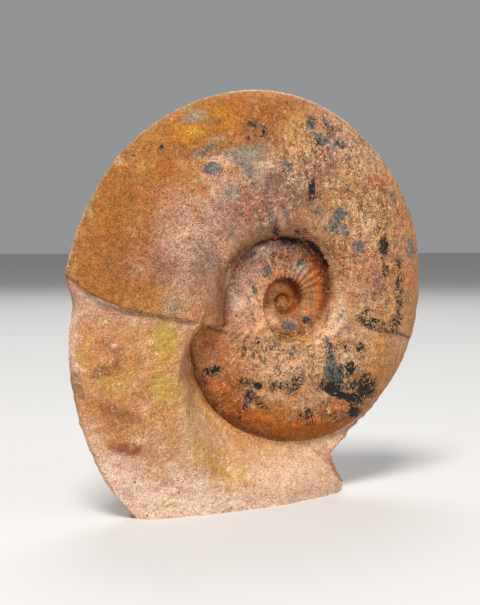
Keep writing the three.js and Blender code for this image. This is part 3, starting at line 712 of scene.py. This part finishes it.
def line_distance(page, line):
    """Distance to a line of points on the page, and which side of it a point is on (positive below)."""
    best = np.full(len(page), 1e9)
    below = np.zeros(len(page))
    for (x0, y0), (x1, y1) in zip(line, line[1:]):
        d = np.array([x1 - x0, y1 - y0])
        w = page - [x0, y0]
        t = np.clip((w @ d) / (d @ d), 0, 1)
        gap = w - t[:, None] * d
        far = np.hypot(*gap.T)
        nearer = far < best
        best = np.where(nearer, far, best)
        below = np.where(nearer, np.sign(d[0] * w[:, 1] - d[1] * w[:, 0]), below)
    return best, below


LEDGE = [(355, 312), (360, 317), (365, 324), (371, 328), (378, 330.5), (389, 332), (401, 334), (409, 338)]
CRACK = [(208, 327), (213, 329.5), (220, 330.5), (228, 333.5), (232, 334.5), (240, 337), (247, 341)]
LEDGE_START = 356

# Areas of the page: ellipses as in the strokes, and how soft their edges are.
LOW_WHORL = (285, 380, 95, 60, 10, 0.4)
RIBBED = (292, 258, 36, 26, 20, 0.5)
RIBBED_BEHIND = (310, 300, 60, 60, 0, 0.5)
BELOW_LEDGE = (380, 352, 44, 34, 0, 0.5)
KNOB = (207, 343, 10, 11, 0, 0.9)
KNOB_DENT = (201, 343, 3, 8, 10, 0.9)
PEPPERED = (  # with the strength first
    (1, 130, 205, 90, 120, 0, 0.4),
    (1, 215, 115, 70, 30, 10, 0.4),
    (0.5, 190, 250, 50, 60, 0, 0.5),
)
LIT_SEAM = (318, 332, 26, 26, 0, 0.6)
LIT_INNER_WHORL = (264, 288, 40, 46, 0, 0.5)
NUCLEUS = (282, 299, 19, 20, 0, 0.2)
ROCK_CHIPS = (191, 372, 4, 14, -20, 0.5)

# How much red, green and blue the seams keep under their painted shade, and the colours of the keel's
# painted highlight, of the low rim (its mineral darkened as painted shade) and of the groove's painted
# shade.
SEAM_SHADE = (0.42, 0.19, 0.08)
KEEL_HIGHLIGHT_TONE = (0.95, 0.72, 0.48)
LOW_RIM_SHADE_TONE = (0.17, 0.05, 0.018)
GROOVE_SHADE_TONE = (0.36, 0.12, 0.03)
RIB_COUNT = 31
RIM_RADIUS = 88
REAR_SHIFT = 500  # the far side's roughness comes from another part of the noise
ROCK_REAR_SHIFT = 300


def seam_distance(info):
    """Millimetres along the flank to the nearest seam between two whorls."""
    angle, ratio = info.T
    keel = keel_radius(angle)
    own = (ratio - seam_ratio(angle)) * keel
    cover = seam_radius(angle + TURN) - ratio * keel
    covered_here = angle < SEAM_BREAK - TURN + 0.02
    return np.where(covered_here, np.minimum(np.abs(own), np.abs(cover)), np.abs(own)), keel


def shell_relief(points, info, front, page, worm, dark):
    """Height in millimetres to add along the normal."""
    u, z = points[:, 0] + np.where(front, 0, REAR_SHIFT), points[:, 2]
    angle, ratio = info.T
    degrees = np.degrees(angle)
    far, keel = seam_distance(info)
    height = 0.3 * rough(u, z, 15, 1) + 0.2 * rough(u, z, 6, 2)
    coarse = 0.2 * rough(u, z, 4.4, 3, 2) + 0.24 * rough(u, z, 8, 4, 2)
    height += (worm + 1.2 * ellipse(page, *LOW_WHORL)) * coarse
    height *= 0.2 + 0.8 * smoothstep(keel * ratio, 6, 40)
    on_inner = smoothstep(degrees, -150, -190) * smoothstep(angle, -9.5, -7.5)
    ribbed = np.where(front, ellipse(page, *RIBBED), ellipse(page, *RIBBED_BEHIND))
    bend = 0.25 * ratio + 0.05 * np.sin(4 * (ratio - 0.5))
    ribs = np.cos(RIB_COUNT * (angle + bend)) * smoothstep(far, 0.3, 2)
    height += (0.12 + 0.75 * ribbed) * on_inner * ribs
    open_seam = 1 - 0.85 * smoothstep(degrees, 170, 187)
    groove = np.exp(-((far / 1.25) ** 2)) * np.minimum(1, keel * ratio / 30) * (keel * ratio > 4)
    height -= 1.25 * open_seam * groove + 0.2 * dark
    height += np.where(front, 1.2 * (ellipse(page, *KNOB) - 0.6 * ellipse(page, *KNOB_DENT)), 0)
    far, below = line_distance(page, LEDGE)
    height -= np.where(front & (below > 0), smoothstep(far, 0, 1.2) * ellipse(page, *BELOW_LEDGE), 0)
    far, _ = line_distance(page, CRACK)
    height -= np.where(front, 0.6 * smoothstep(far, 1.3, 0.3), 0)
    chips = np.minimum(rough(degrees, 0 * angle, 2.2, 9), 0.1)
    height = lerp(height, 0.28 * chips - 0.1, smoothstep(ratio, 0.985, 0.995))
    return np.where(on_break(info), 0, height)


def on_break(info):
    """The rough face of the break: its ratio is 0, as in the coil's middle, whose angle is 0 too."""
    return (info[:, 1] == 0) & (info[:, 0] > 1)


def build_shell(material):
    points, info, sides, faces = shell_mesh()
    front = sides > 0
    page = flipped(page_of(points + SPIRAL_CENTRE), sides)
    angle, ratio = info.T
    x, y = page.T
    loose = warped(page, (44, 6.0, 10), (18, 4.0, 11), (7, 2.0, 12))
    broken = warped(page, (5, 1.5, 21))
    slate, dark = covered(broken, SHELL_SLATE), covered(broken, SHELL_DARK)
    worm = covered(loose, SHELL_WORM)
    pepper = np.clip(sum(share * ellipse(page, *area) for share, *area in PEPPERED), 0, 1)
    colours = tinted(loose, PALETTE["tan"], SHELL_TINTS)
    colours = tinted(warped(page, (6, 1.3, 24)), colours, SHELL_MARKS)

    def shade(share, tone):
        return lerp(colours, tone, share[:, None])

    # Painted highlight along the keel: cream on the right, a paler bone on the left.
    rim = lerp(np.array(KEEL_HIGHLIGHT_TONE), PALETTE["bone"] * 0.8, smoothstep(x, 260, 200)[:, None])
    colours = shade(0.55 * smoothstep(ratio, 0.99, 0.997), rim)
    far, keel = seam_distance(info)
    # Painted shade in the seams between whorls, weaker past the break and where the seam's wall is lit.
    painted_seam_shade = np.exp(-((far / 2.1) ** 2)) * (keel * ratio > 3)
    painted_seam_shade *= 1 - 0.8 * smoothstep(np.degrees(angle), 172, 188)
    painted_seam_shade *= 1 - 0.75 * ellipse(page, *LIT_SEAM) * front
    colours = shade(0.9 * painted_seam_shade, colours * SEAM_SHADE)
    # Painted light: the inner whorls are lightened where the key leaves them in shadow, all but the
    # nucleus.
    inner_painted_light = ellipse(page, *LIT_INNER_WHORL) * (angle < SEAM_BREAK - TURN + 0.35) * front
    inner_painted_light *= 1 - ellipse(page, *NUCLEUS)
    colours = colours * (1 + np.outer(inner_painted_light, [0.5, 0.5, 0.6]))
    colours = np.where(on_break(info)[:, None], PALETTE["pinkgrey"], colours)
    # A dark red-brown band on the lower whorl's flank by the keel: partly its mineral colour, partly
    # painted shade where the flank turns down into the groove.
    low = smoothstep(ratio, 0.915, 0.96) * smoothstep(x, 320, 262) * smoothstep(y, 322, 332)
    low = low * front * (0.75 + 0.35 * rough(x, y, 8, 61, 2))
    colours = shade(np.clip(low, 0, 0.95), np.array(LOW_RIM_SHADE_TONE))
    # Painted shadow: dark lines in the sunken crack and under the ledge's raised edge.
    crack_shadow = 0.7 * smoothstep(line_distance(page, CRACK)[0], 1.6, 0.4)
    ledge_shadow = 0.95 * smoothstep(line_distance(page, LEDGE)[0], 1.9, 0.5) * (x > LEDGE_START)
    colours = shade(np.maximum(crack_shadow, ledge_shadow) * front, PALETTE["dark"])
    height = shell_relief(points, info, front, page, worm, dark)
    points = points + vertex_normals(points, faces) * height[:, None]
    masks = {"slate": slate, "dark": dark, "worm": worm, "pepper": pepper}
    make_piece("ammonite_shell", points, faces, ("ammonite", "shell_mould"), material, colours, masks)


# The apricot strokes on the strip beside the shell's lower left are painted light on a slope turned from
# the key; the thin tan band where the ramp meets the lower whorl is painted shade.
ROCK_TINTS = """
peach 1 180 400 190 150, pinkgrey .7 105 312 45 22 20, .7 70 300 12 26, pink .45 72 360 10 40
chalk .45 72 345 5 40, .5 95 445 12 26 -28, .45 322 458 20 22, .4 160 312 30 5 10
cream .95 193 432 14 34, .5 184 370 4 36, chalk .6 118 466 20 12, blush .5 112 480 34 30
.4 150 500 40 16, .5 330 475 16 24, pink .4 200 492 40 10 -6, pinkgrey .5 160 318 30 6 10
gold .55 165 338 14 22, olive .45 168 330 12 12, gold .5 163 390 18 16, olive .3 166 380 14 10
gold .3 82 356 10 12, .3 118 372 22 22, salmon .45 110 350 22 26, brown .25 112 372 14 12
salmon .45 118 412 20 22, brown .3 112 415 12 12, rust .75 126 449 15 6 8, salmon .6 122 460 12 6
brown .35 74 385 5 16 -8, salmon .35 80 420 10 26 -15, cream .6 92 452 12 24 -28, .6 165 482 40 24
pink .45 196 486 24 12, gold .45 196 440 8 26, .35 205 462 16 10, .55 240 474 16 9, .3 150 477 5 4
.35 168 505 26 6 -8, peach .8 225 445 26 34, tan .5 215 420 26 34 35, peach .7 240 440 30 26 40
cream .8 290 468 56 22, .35 285 460 34 16, .4 325 470 16 20, pink .35 318 482 20 8, .6 186 350 6 34
salmon .5 192 378 5 14 -25, cream .7 365 412 30 20 -45, pink .5 352 428 12 8 -40
pinkgrey .5 372 405 12 8 -45, pink .4 232 500 30 8 -10, tan .6 188 338 9 16
cream .7 198 392 6 24 -32, gold .35 160 360 10 22, cream .5 190 432 12 18, tan .6 290 439 36 4
pinkgrey .4 112 466 10 12, chalk .2 154 442 13 12, blush .5 148 400 9 9, chalk .8 106 301 18 4 15
.6 322 484 14 6, .8 118 480 26 24, .7 200 515 90 11 -6, .6 300 499 44 9 -12, .85 150 500 44 16
.8 205 500 44 12 -6, .7 190 478 34 10 20, .6 262 484 40 14 -6, .7 300 474 30 20, .6 324 462 16 20
.6 345 425 30 8 -42, cream .6 196 438 12 32 -14, pink .35 150 456 12 20, .5 150 488 8 4 20
pinkgrey .5 172 484 12 5 20, .4 196 472 12 5 30, .4 120 508 20 6 -4, peach .6 186 352 6 34
apricot .8 191 366 5 24 -10, .8 200 400 5 20 -32, .5 222 425 5 20 -46, blush .6 66 340 5 40
cream .5 298 476 34 20, .5 324 458 14 20, .4 240 486 30 10, salmon .4 188 346 3 28
"""

ROCK_MARKS = """
brown .6 118 363 5 8 15, mauve .6 118 352 6 5, brown .65 101 371 9 6 -20, mauve .5 96 377 6 5
brown .6 126 416 9 6 20, .5 112 409 7 4 -20, red .5 107 408 3 2, mauve .45 136 420 7 4
rust .45 93 404 9 5, brown .4 97 432 6 3, red .55 126 449 15 5 8, rust .6 131 449 9 5
salmon .5 113 446 6 4 20, .6 118 466 6 3, mauve .6 76 376 3.5 12 -14, .5 82 395 4 10 -20
salmon .4 86 330 10 8, .4 93 352 6 10, mauve .35 108 346 8 6, brown .35 130 341 5 4 20
.35 140 360 5 8, rust .3 145 395 8 10, cream .8 158 370 9 1 -14, .7 146 374 6 1 -35
.7 137 382 6 1.2 -40, .6 127 389 8 1 -12, pink .5 140 383 7 5, gold .55 103 320 3 5, .5 80 358 4 6
.45 96 414 3 5, .6 113 386 10 6, .4 126 330 8 5 20, tan .5 187 345 3 16, pink .5 184 352 4 22
orange .4 191 385 2 10 -25, brown .35 195 391 4 2 40, gold .5 200 448 4 12 -24, .5 212 460 5 10 -30
.6 222 470 6 4 30, .7 236 476 7 6 30, .6 246 484 6 3 20, .5 233 490 5 2, cream .5 184 440 4 22 -10
gold .5 168 506 14 2 -8, .5 190 410 3 14 -8, pinkgrey .5 140 470 8 4 30, mauve .3 128 494 10 4 20
cream .6 214 436 3 20 -36, .6 232 446 3 20 -42, .5 262 462 20 3 14, pink .5 300 458 16 3 8
.5 330 452 6 8 -30
"""

ROCK_STAINS = """
.5 103 345 12 14, .55 110 370 12 10, .5 120 360 8 8, .45 96 392 10 10, .6 112 408 12 14
.5 126 424 10 12, .8 126 449 16 6 8, .4 74 385 4 16 -8, .3 140 395 14 10, .4 92 335 10 8
.3 150 440 14 20, .35 108 470 12 8
"""

ROCK_YELLOW = """
.42 115 365 50 60, .5 84 350 9 34, .55 112 384 16 12, .45 170 362 14 40, .45 200 440 10 34 -20
.4 215 468 16 20, .9 166 338 13 22, .5 150 342 8 10, .8 166 388 16 14, .6 150 388 8 8
.4 84 356 9 10, .5 125 384 14 12, .5 95 420 6 12 -20, .7 195 438 8 26 5, .5 206 460 14 8
.8 240 474 14 8, .5 222 484 10 6, .4 150 477 6 5, .5 172 505 22 5 -8, .35 260 486 20 6 -8
.4 112 330 18 8
"""


def rock_relief(points, info, page):
    """Height in millimetres to add along the normal."""
    x, y, z = points.T
    angle, run, length = info.T
    front = y < 0
    u = x + np.where(y > 0, ROCK_REAR_SHIFT, 0)
    height = 0.38 * rough(u, z, 16, 31) + 0.33 * rough(u, z, 6, 32) + 0.22 * rough(u, z, 3, 33, 2)
    height += smoothstep(y, 4, 10) * (0.35 * rough(u, z, 9, 34) + 0.25 * np.abs(rough(x, z, 4, 35)))
    streaks = noise(np.degrees(np.arctan2(z, x)) * 1.4, 0.05 * run, 1.0, 36)
    on_ramp = smoothstep(run, 3, 8) * smoothstep(run, 40, 26) * smoothstep(angle, 205, 228) * front
    height += 0.09 * streaks * on_ramp * smoothstep(angle, 285, 262)
    height *= 1 - 0.6 * on_ramp
    height *= 1 - 0.55 * smoothstep(run, 12, 6) * front * smoothstep(angle, 290, 250)
    height -= 0.5 * ellipse(page, *ROCK_CHIPS) * front * np.maximum(rough(x, z, 3.2, 37, 2), 0)
    height = np.where(z < -FOOT_DEPTH + 0.4, 0, height * smoothstep(z, -FOOT_DEPTH, -FOOT_DEPTH + 3))
    return height * (0.35 + 0.65 * smoothstep(length, 6, 14))


def build_rock(material):
    points, info, faces = rock_mesh()
    angle, run, length = info.T
    along_rim = np.radians(angle) * RIM_RADIUS
    ragged = smoothstep(angle, 292, 300) * smoothstep(run / np.maximum(length, 1), 0.2, 1)
    push = ragged * (0.9 * rough(along_rim, 0 * along_rim, 5, 41) - 0.1)
    turn = np.radians(angle)
    points = points + np.stack([push * np.cos(turn), 0 * push, push * np.sin(turn)], 1)
    page = page_of(points + SPIRAL_CENTRE)
    loose = warped(page, (40, 5.0, 50), (18, 4.0, 51), (7, 2.0, 52))
    colours = tinted(loose, PALETTE["peach"], ROCK_TINTS)
    colours = tinted(warped(page, (6, 2.2, 54)), colours, ROCK_MARKS)
    # Painted shade in the groove where the rock meets the shell, and by the neck.
    groove = smoothstep(run, 2.5, 0.8) * smoothstep(angle, 250, 225)
    neck = smoothstep(angle, 202, 194) * smoothstep(run, 9, 5)
    groove = np.maximum(groove, neck) * (points[:, 1] < 2)
    colours = lerp(colours, np.array(GROOVE_SHADE_TONE), 0.6 * groove[:, None])
    points = points + vertex_normals(points, faces) * rock_relief(points, info, page)[:, None]
    masks = {"stain": covered(loose, ROCK_STAINS), "yellow": covered(loose, ROCK_YELLOW)}
    make_piece("limestone_matrix", points, faces, ("matrix", "limestone"), material, colours, masks)


# Materials

BUMP_MM = 2.4
STONE_SPECULAR = 0.16
ROCK_ROUGHNESS = 0.85


class Shader:
    """A node material with short ways to add its nodes."""

    def __init__(self, name):
        self.material = bpy.data.materials.new(name)
        self.material.use_nodes = True
        self.tree = self.material.node_tree
        self.tree.nodes.clear()
        self.place = self.add("ShaderNodeTexCoord").outputs["Object"]
        self.colour = self.attribute("tint", "Color")

    def add(self, kind, inputs=None, **settings):
        node = self.tree.nodes.new(kind)
        for key, value in settings.items():
            setattr(node, key, value)
        for key, value in (inputs or {}).items():
            if isinstance(value, bpy.types.NodeSocket):
                self.tree.links.new(value, node.inputs[key])
            else:
                node.inputs[key].default_value = value
        return node

    def attribute(self, name, output="Fac"):
        return self.add("ShaderNodeAttribute", attribute_name=name).outputs[output]

    def noise(self, size_mm, detail=2, roughness=0.5, distortion=0):
        inputs = {"Vector": self.place, "Scale": 1000 / size_mm, "Detail": detail}
        inputs.update({"Roughness": roughness, "Distortion": distortion})
        return self.add("ShaderNodeTexNoise", inputs).outputs["Fac"]

    def math(self, operation, a, b=0.0, c=0.0):
        return self.add("ShaderNodeMath", {0: a, 1: b, 2: c}, operation=operation).outputs[0]

    def times(self, a, b, plus=0.0):
        return self.math("MULTIPLY_ADD", a, b, plus)

    def step(self, value, low, high, to=(0, 1)):
        inputs = {"Value": value, "From Min": low, "From Max": high, "To Min": to[0], "To Max": to[1]}
        return self.add("ShaderNodeMapRange", inputs, interpolation_type="SMOOTHSTEP").outputs[0]

    def mix(self, share, a, b, blend="MIX"):
        node = self.add("ShaderNodeMix", data_type="RGBA", blend_type=blend)
        for socket, value in ((node.inputs[0], share), (node.inputs[6], a), (node.inputs[7], b)):
            if isinstance(value, bpy.types.NodeSocket):
                self.tree.links.new(value, socket)
            elif isinstance(value, tuple):
                socket.default_value = (*value, 1)
            else:
                socket.default_value = value
        return node.outputs[2]

    def paint(self, cover, strength, tone):
        """Lays a colour over what is there, where the cover says and as strongly as given."""
        self.colour = self.mix(self.times(cover, strength), self.colour, tone)

    def grain(self, size_mm, gain, low, high, detail=5, roughness=0.9):
        """Varies the brightness at every size from this one down."""
        value = self.times(self.noise(size_mm, detail, roughness), gain, 1 - gain / 2)
        value = self.math("MINIMUM", self.math("MAXIMUM", value, low), high)
        self.colour = self.mix(1.0, self.colour, value, "MULTIPLY")

    def scattered(self, mask, size_mm, detail=6, roughness=0.75, edge=0.05, gain=4.0, distortion=0.0):
        """Ragged spots that cover about as large a share of the surface as the mask says."""
        value = self.times(self.noise(size_mm, detail, roughness, distortion), gain, 0.2 - gain / 2)
        return self.step(self.times(mask, 1.3, value), 1.0 - edge, 1.0 + edge)

    def hooks(self, size_mm, width, share, distortion):
        """Thin, broken, curled lines."""
        value = self.noise(size_mm, 2, 0.5, distortion)
        value = self.math("ABSOLUTE", self.math("SUBTRACT", value, 0.5))
        gaps = self.noise(size_mm * 0.9, 2, 0.5, 0.3)
        cut = 0.5 - (share - 0.5) * 0.3
        return self.times(self.step(value, width, width * 0.5), self.step(gaps, cut - 0.015, cut + 0.015))

    def dots(self, spacing_mm, radius, share):
        """Small round pits or grains, one in some of the cells."""
        inputs = {"Vector": self.place, "Scale": 1000 / spacing_mm, "Randomness": 1.0}
        cells = self.add("ShaderNodeTexVoronoi", inputs)
        chance = self.add("ShaderNodeSeparateColor", {0: cells.outputs["Color"]}).outputs[0]
        near = self.step(cells.outputs["Distance"], radius * 1.25, radius * 0.8)
        return self.times(near, self.math("LESS_THAN", chance, share))

    def finish(self, bump, roughness):
        lift = self.add("ShaderNodeBump", {"Height": bump, "Distance": BUMP_MM * MM, "Strength": 1.0})
        inputs = {"Base Color": self.colour, "Roughness": roughness, "Normal": lift.outputs[0]}
        inputs["Specular IOR Level"] = STONE_SPECULAR
        surface = self.add("ShaderNodeBsdfPrincipled", inputs)
        self.add("ShaderNodeOutputMaterial", {"Surface": surface.outputs[0]})
        return self.material


# Broad patches: colour, size, strength, share on the worm-marked and on the peppered areas, edge.
SHELL_PATCHES = (
    ((0.26, 0.13, 0.10), 7.5, 0.6, 0.34, 0.02, 0.07),
    ((0.48, 0.15, 0.065), 6.0, 0.5, 0.28, 0.04, 0.07),
    ((0.60, 0.33, 0.155), 6.5, 0.6, 0.36, 0.05, 0.07),
    ((0.25, 0.08, 0.025), 4.0, 0.45, 0.14, 0.2, 0.12),
    ((0.22, 0.19, 0.15), 5.0, 0.6, 0.2, 0.03, 0.07),
)


def shell_material():
    s = Shader("shell_mould")
    worm, pepper, dark_mineral_and_seam_shade = s.attribute("worm"), s.attribute("pepper"), s.attribute("dark")
    for tone, size, strength, on_worm, on_pepper, edge in SHELL_PATCHES:
        share = s.times(pepper, on_pepper, s.times(worm, on_worm))
        s.paint(s.scattered(share, size, 7, 0.68, edge, 4.0, 0.3), strength, tone)
    s.grain(3.0, 1.3, 0.6, 1.4, 3, 0.6)
    s.grain(0.72, 6.4, 0.4, 1.8)
    s.paint(s.scattered(s.times(worm, 0.3, 0.04), 2.6, 6, 0.7, 0.05, 4.0, 0.6), 0.65, (0.74, 0.47, 0.27))
    # Painted highlights on the raised cream curls; the dark curls below are partly the stone's marks,
    # partly painted shade in the sunken lines.
    cream = s.hooks(4.6, 0.04, 0.55, 1.6)
    s.paint(cream, s.times(worm, 0.7, 0.04), (0.84, 0.60, 0.37))
    hooks = s.hooks(4.2, 0.05, 0.5, 1.8)
    s.paint(hooks, s.times(worm, 0.72, 0.1), (0.10, 0.06, 0.04))
    s.paint(s.scattered(s.times(pepper, 0.12, 0.12), 1.4, 4, gain=5.0), 0.72, (0.11, 0.045, 0.02))
    stone = s.mix(s.step(s.noise(1.4, 4, 0.7), 0.4, 0.6), (0.035, 0.05, 0.05), (0.20, 0.22, 0.20))
    slate = s.times(worm, 0.14, s.attribute("slate"))
    s.paint(s.scattered(slate, 4.0, 8, 0.78, 0.04, 4.0, 0.5), 0.85, stone)
    fern = s.times(s.hooks(3.6, 0.075, 0.6, 3.0), s.step(dark_mineral_and_seam_shade, 0.12, 0.45))
    s.paint(fern, 0.85, (0.05, 0.045, 0.042))
    # Black mineral, and painted shadow where its strokes follow the umbilical seam.
    dark = s.scattered(s.times(dark_mineral_and_seam_shade, 0.9, s.times(worm, 0.06)), 3.4, 6, 0.62, 0.03, 3.8, 2.0)
    s.paint(dark, 0.97, (0.010, 0.013, 0.015))
    relief = s.noise(4.4, 6, 0.6)
    bump = s.times(dark, -0.05, relief)
    bump = s.math("SUBTRACT", bump, s.times(hooks, s.times(worm, 0.09, 0.015)))
    bump = s.times(cream, s.times(worm, 0.08, 0.01), bump)
    return s.finish(bump, s.step(relief, 0.35, 0.65, (0.6, 0.8)))


def rock_material():
    s = Shader("limestone")
    hue = s.noise(9, 7, 0.7)
    s.colour = s.mix(s.step(hue, 0.5, 0.66, (0, 0.6)), s.colour, (0.88, 0.64, 0.55), "MULTIPLY")
    s.paint(s.step(hue, 0.46, 0.36), 0.5, (0.90, 0.61, 0.44))
    s.grain(0.8, 5.2, 0.5, 1.6)
    yellow = s.times(s.attribute("yellow"), 0.78)
    s.paint(s.scattered(yellow, 2.4, 7, 0.85, gain=5.0), 0.55, (0.52, 0.37, 0.035))
    s.paint(s.scattered(s.attribute("stain"), 3.6, 7, 0.8, 0.06), 0.58, (0.31, 0.11, 0.06))
    brown = s.scattered(0.12, 1.8, 5, 0.75, 0.04, 5.0)
    s.paint(brown, 0.5, (0.31, 0.14, 0.07))
    white = s.scattered(0.26, 2.2, 5)
    s.paint(white, 0.55, (0.93, 0.68, 0.50))
    s.paint(s.hooks(5.0, 0.03, 0.42, 1.0), 0.3, (0.30, 0.15, 0.09))
    s.paint(s.dots(5.0, 0.12, 0.25), 0.8, (0.10, 0.05, 0.04))
    bump = s.times(brown, -0.05, s.noise(3.4, 6, 0.66))
    return s.finish(s.times(white, 0.04, bump), ROCK_ROUGHNESS)


# The stage

FLOOR_SIZE = 60
FLOOR_TONE = (0.62, 0.61, 0.60, 1)
SKY_TONE = (0.97, 0.98, 1.0, 1)
SKY_STRENGTH = 0.3
LIT_POINT = Vector((0, 0, 0.11))
SENSOR_MM = 36


def make_stage():
    bpy.ops.mesh.primitive_plane_add(size=FLOOR_SIZE, location=(0, 0, 0))
    floor = bpy.context.object
    floor.name = "floor"
    material = bpy.data.materials.new("pale_floor")
    material.use_nodes = True
    shader = material.node_tree.nodes["Principled BSDF"]
    shader.inputs["Base Color"].default_value = FLOOR_TONE
    shader.inputs["Roughness"].default_value = 0.8
    floor.data.materials.append(material)
    world = bpy.context.scene.world or bpy.data.worlds.new("world")
    bpy.context.scene.world = world
    world.use_nodes = True
    background = world.node_tree.nodes["Background"]
    background.inputs[0].default_value = SKY_TONE
    background.inputs[1].default_value = SKY_STRENGTH


def area_light(name, azimuth, elevation, distance, size, power, colour=(1, 1, 1)):
    data = bpy.data.lights.new(name, "AREA")
    data.energy, data.size, data.color = power, size, colour
    lamp = bpy.data.objects.new(name, data)
    a, e = math.radians(azimuth), math.radians(elevation)
    back = Vector((math.sin(a) * math.cos(e), -math.cos(a) * math.cos(e), math.sin(e)))
    lamp.location = LIT_POINT + distance * back
    lamp.rotation_euler = back.to_track_quat("Z", "Y").to_euler()
    bpy.context.scene.collection.objects.link(lamp)


def make_camera():
    data = bpy.data.cameras.new("camera")
    data.sensor_width = SENSOR_MM
    data.lens = SENSOR_MM * FOCAL_PX / FRAME_PX[1]
    data.clip_start, data.clip_end = 0.01, 50
    camera = bpy.data.objects.new("camera", data)
    eye, ahead, _, _ = camera_axes()
    camera.location = Vector(eye * MM)
    camera.rotation_euler = Vector(-ahead).to_track_quat("Z", "Y").to_euler()
    bpy.context.scene.collection.objects.link(camera)
    bpy.context.scene.camera = camera


make_camera()
make_stage()
area_light("key", -42, 52, 3.0, 1.0, 110, (1, 0.98, 0.95))
area_light("fill", 35, 22, 3.5, 2.4, 18)
area_light("rim", 150, 45, 3.2, 1.8, 40)
bpy.context.scene.view_settings.view_transform = "Standard"
build_shell(shell_material())
build_rock(rock_material())
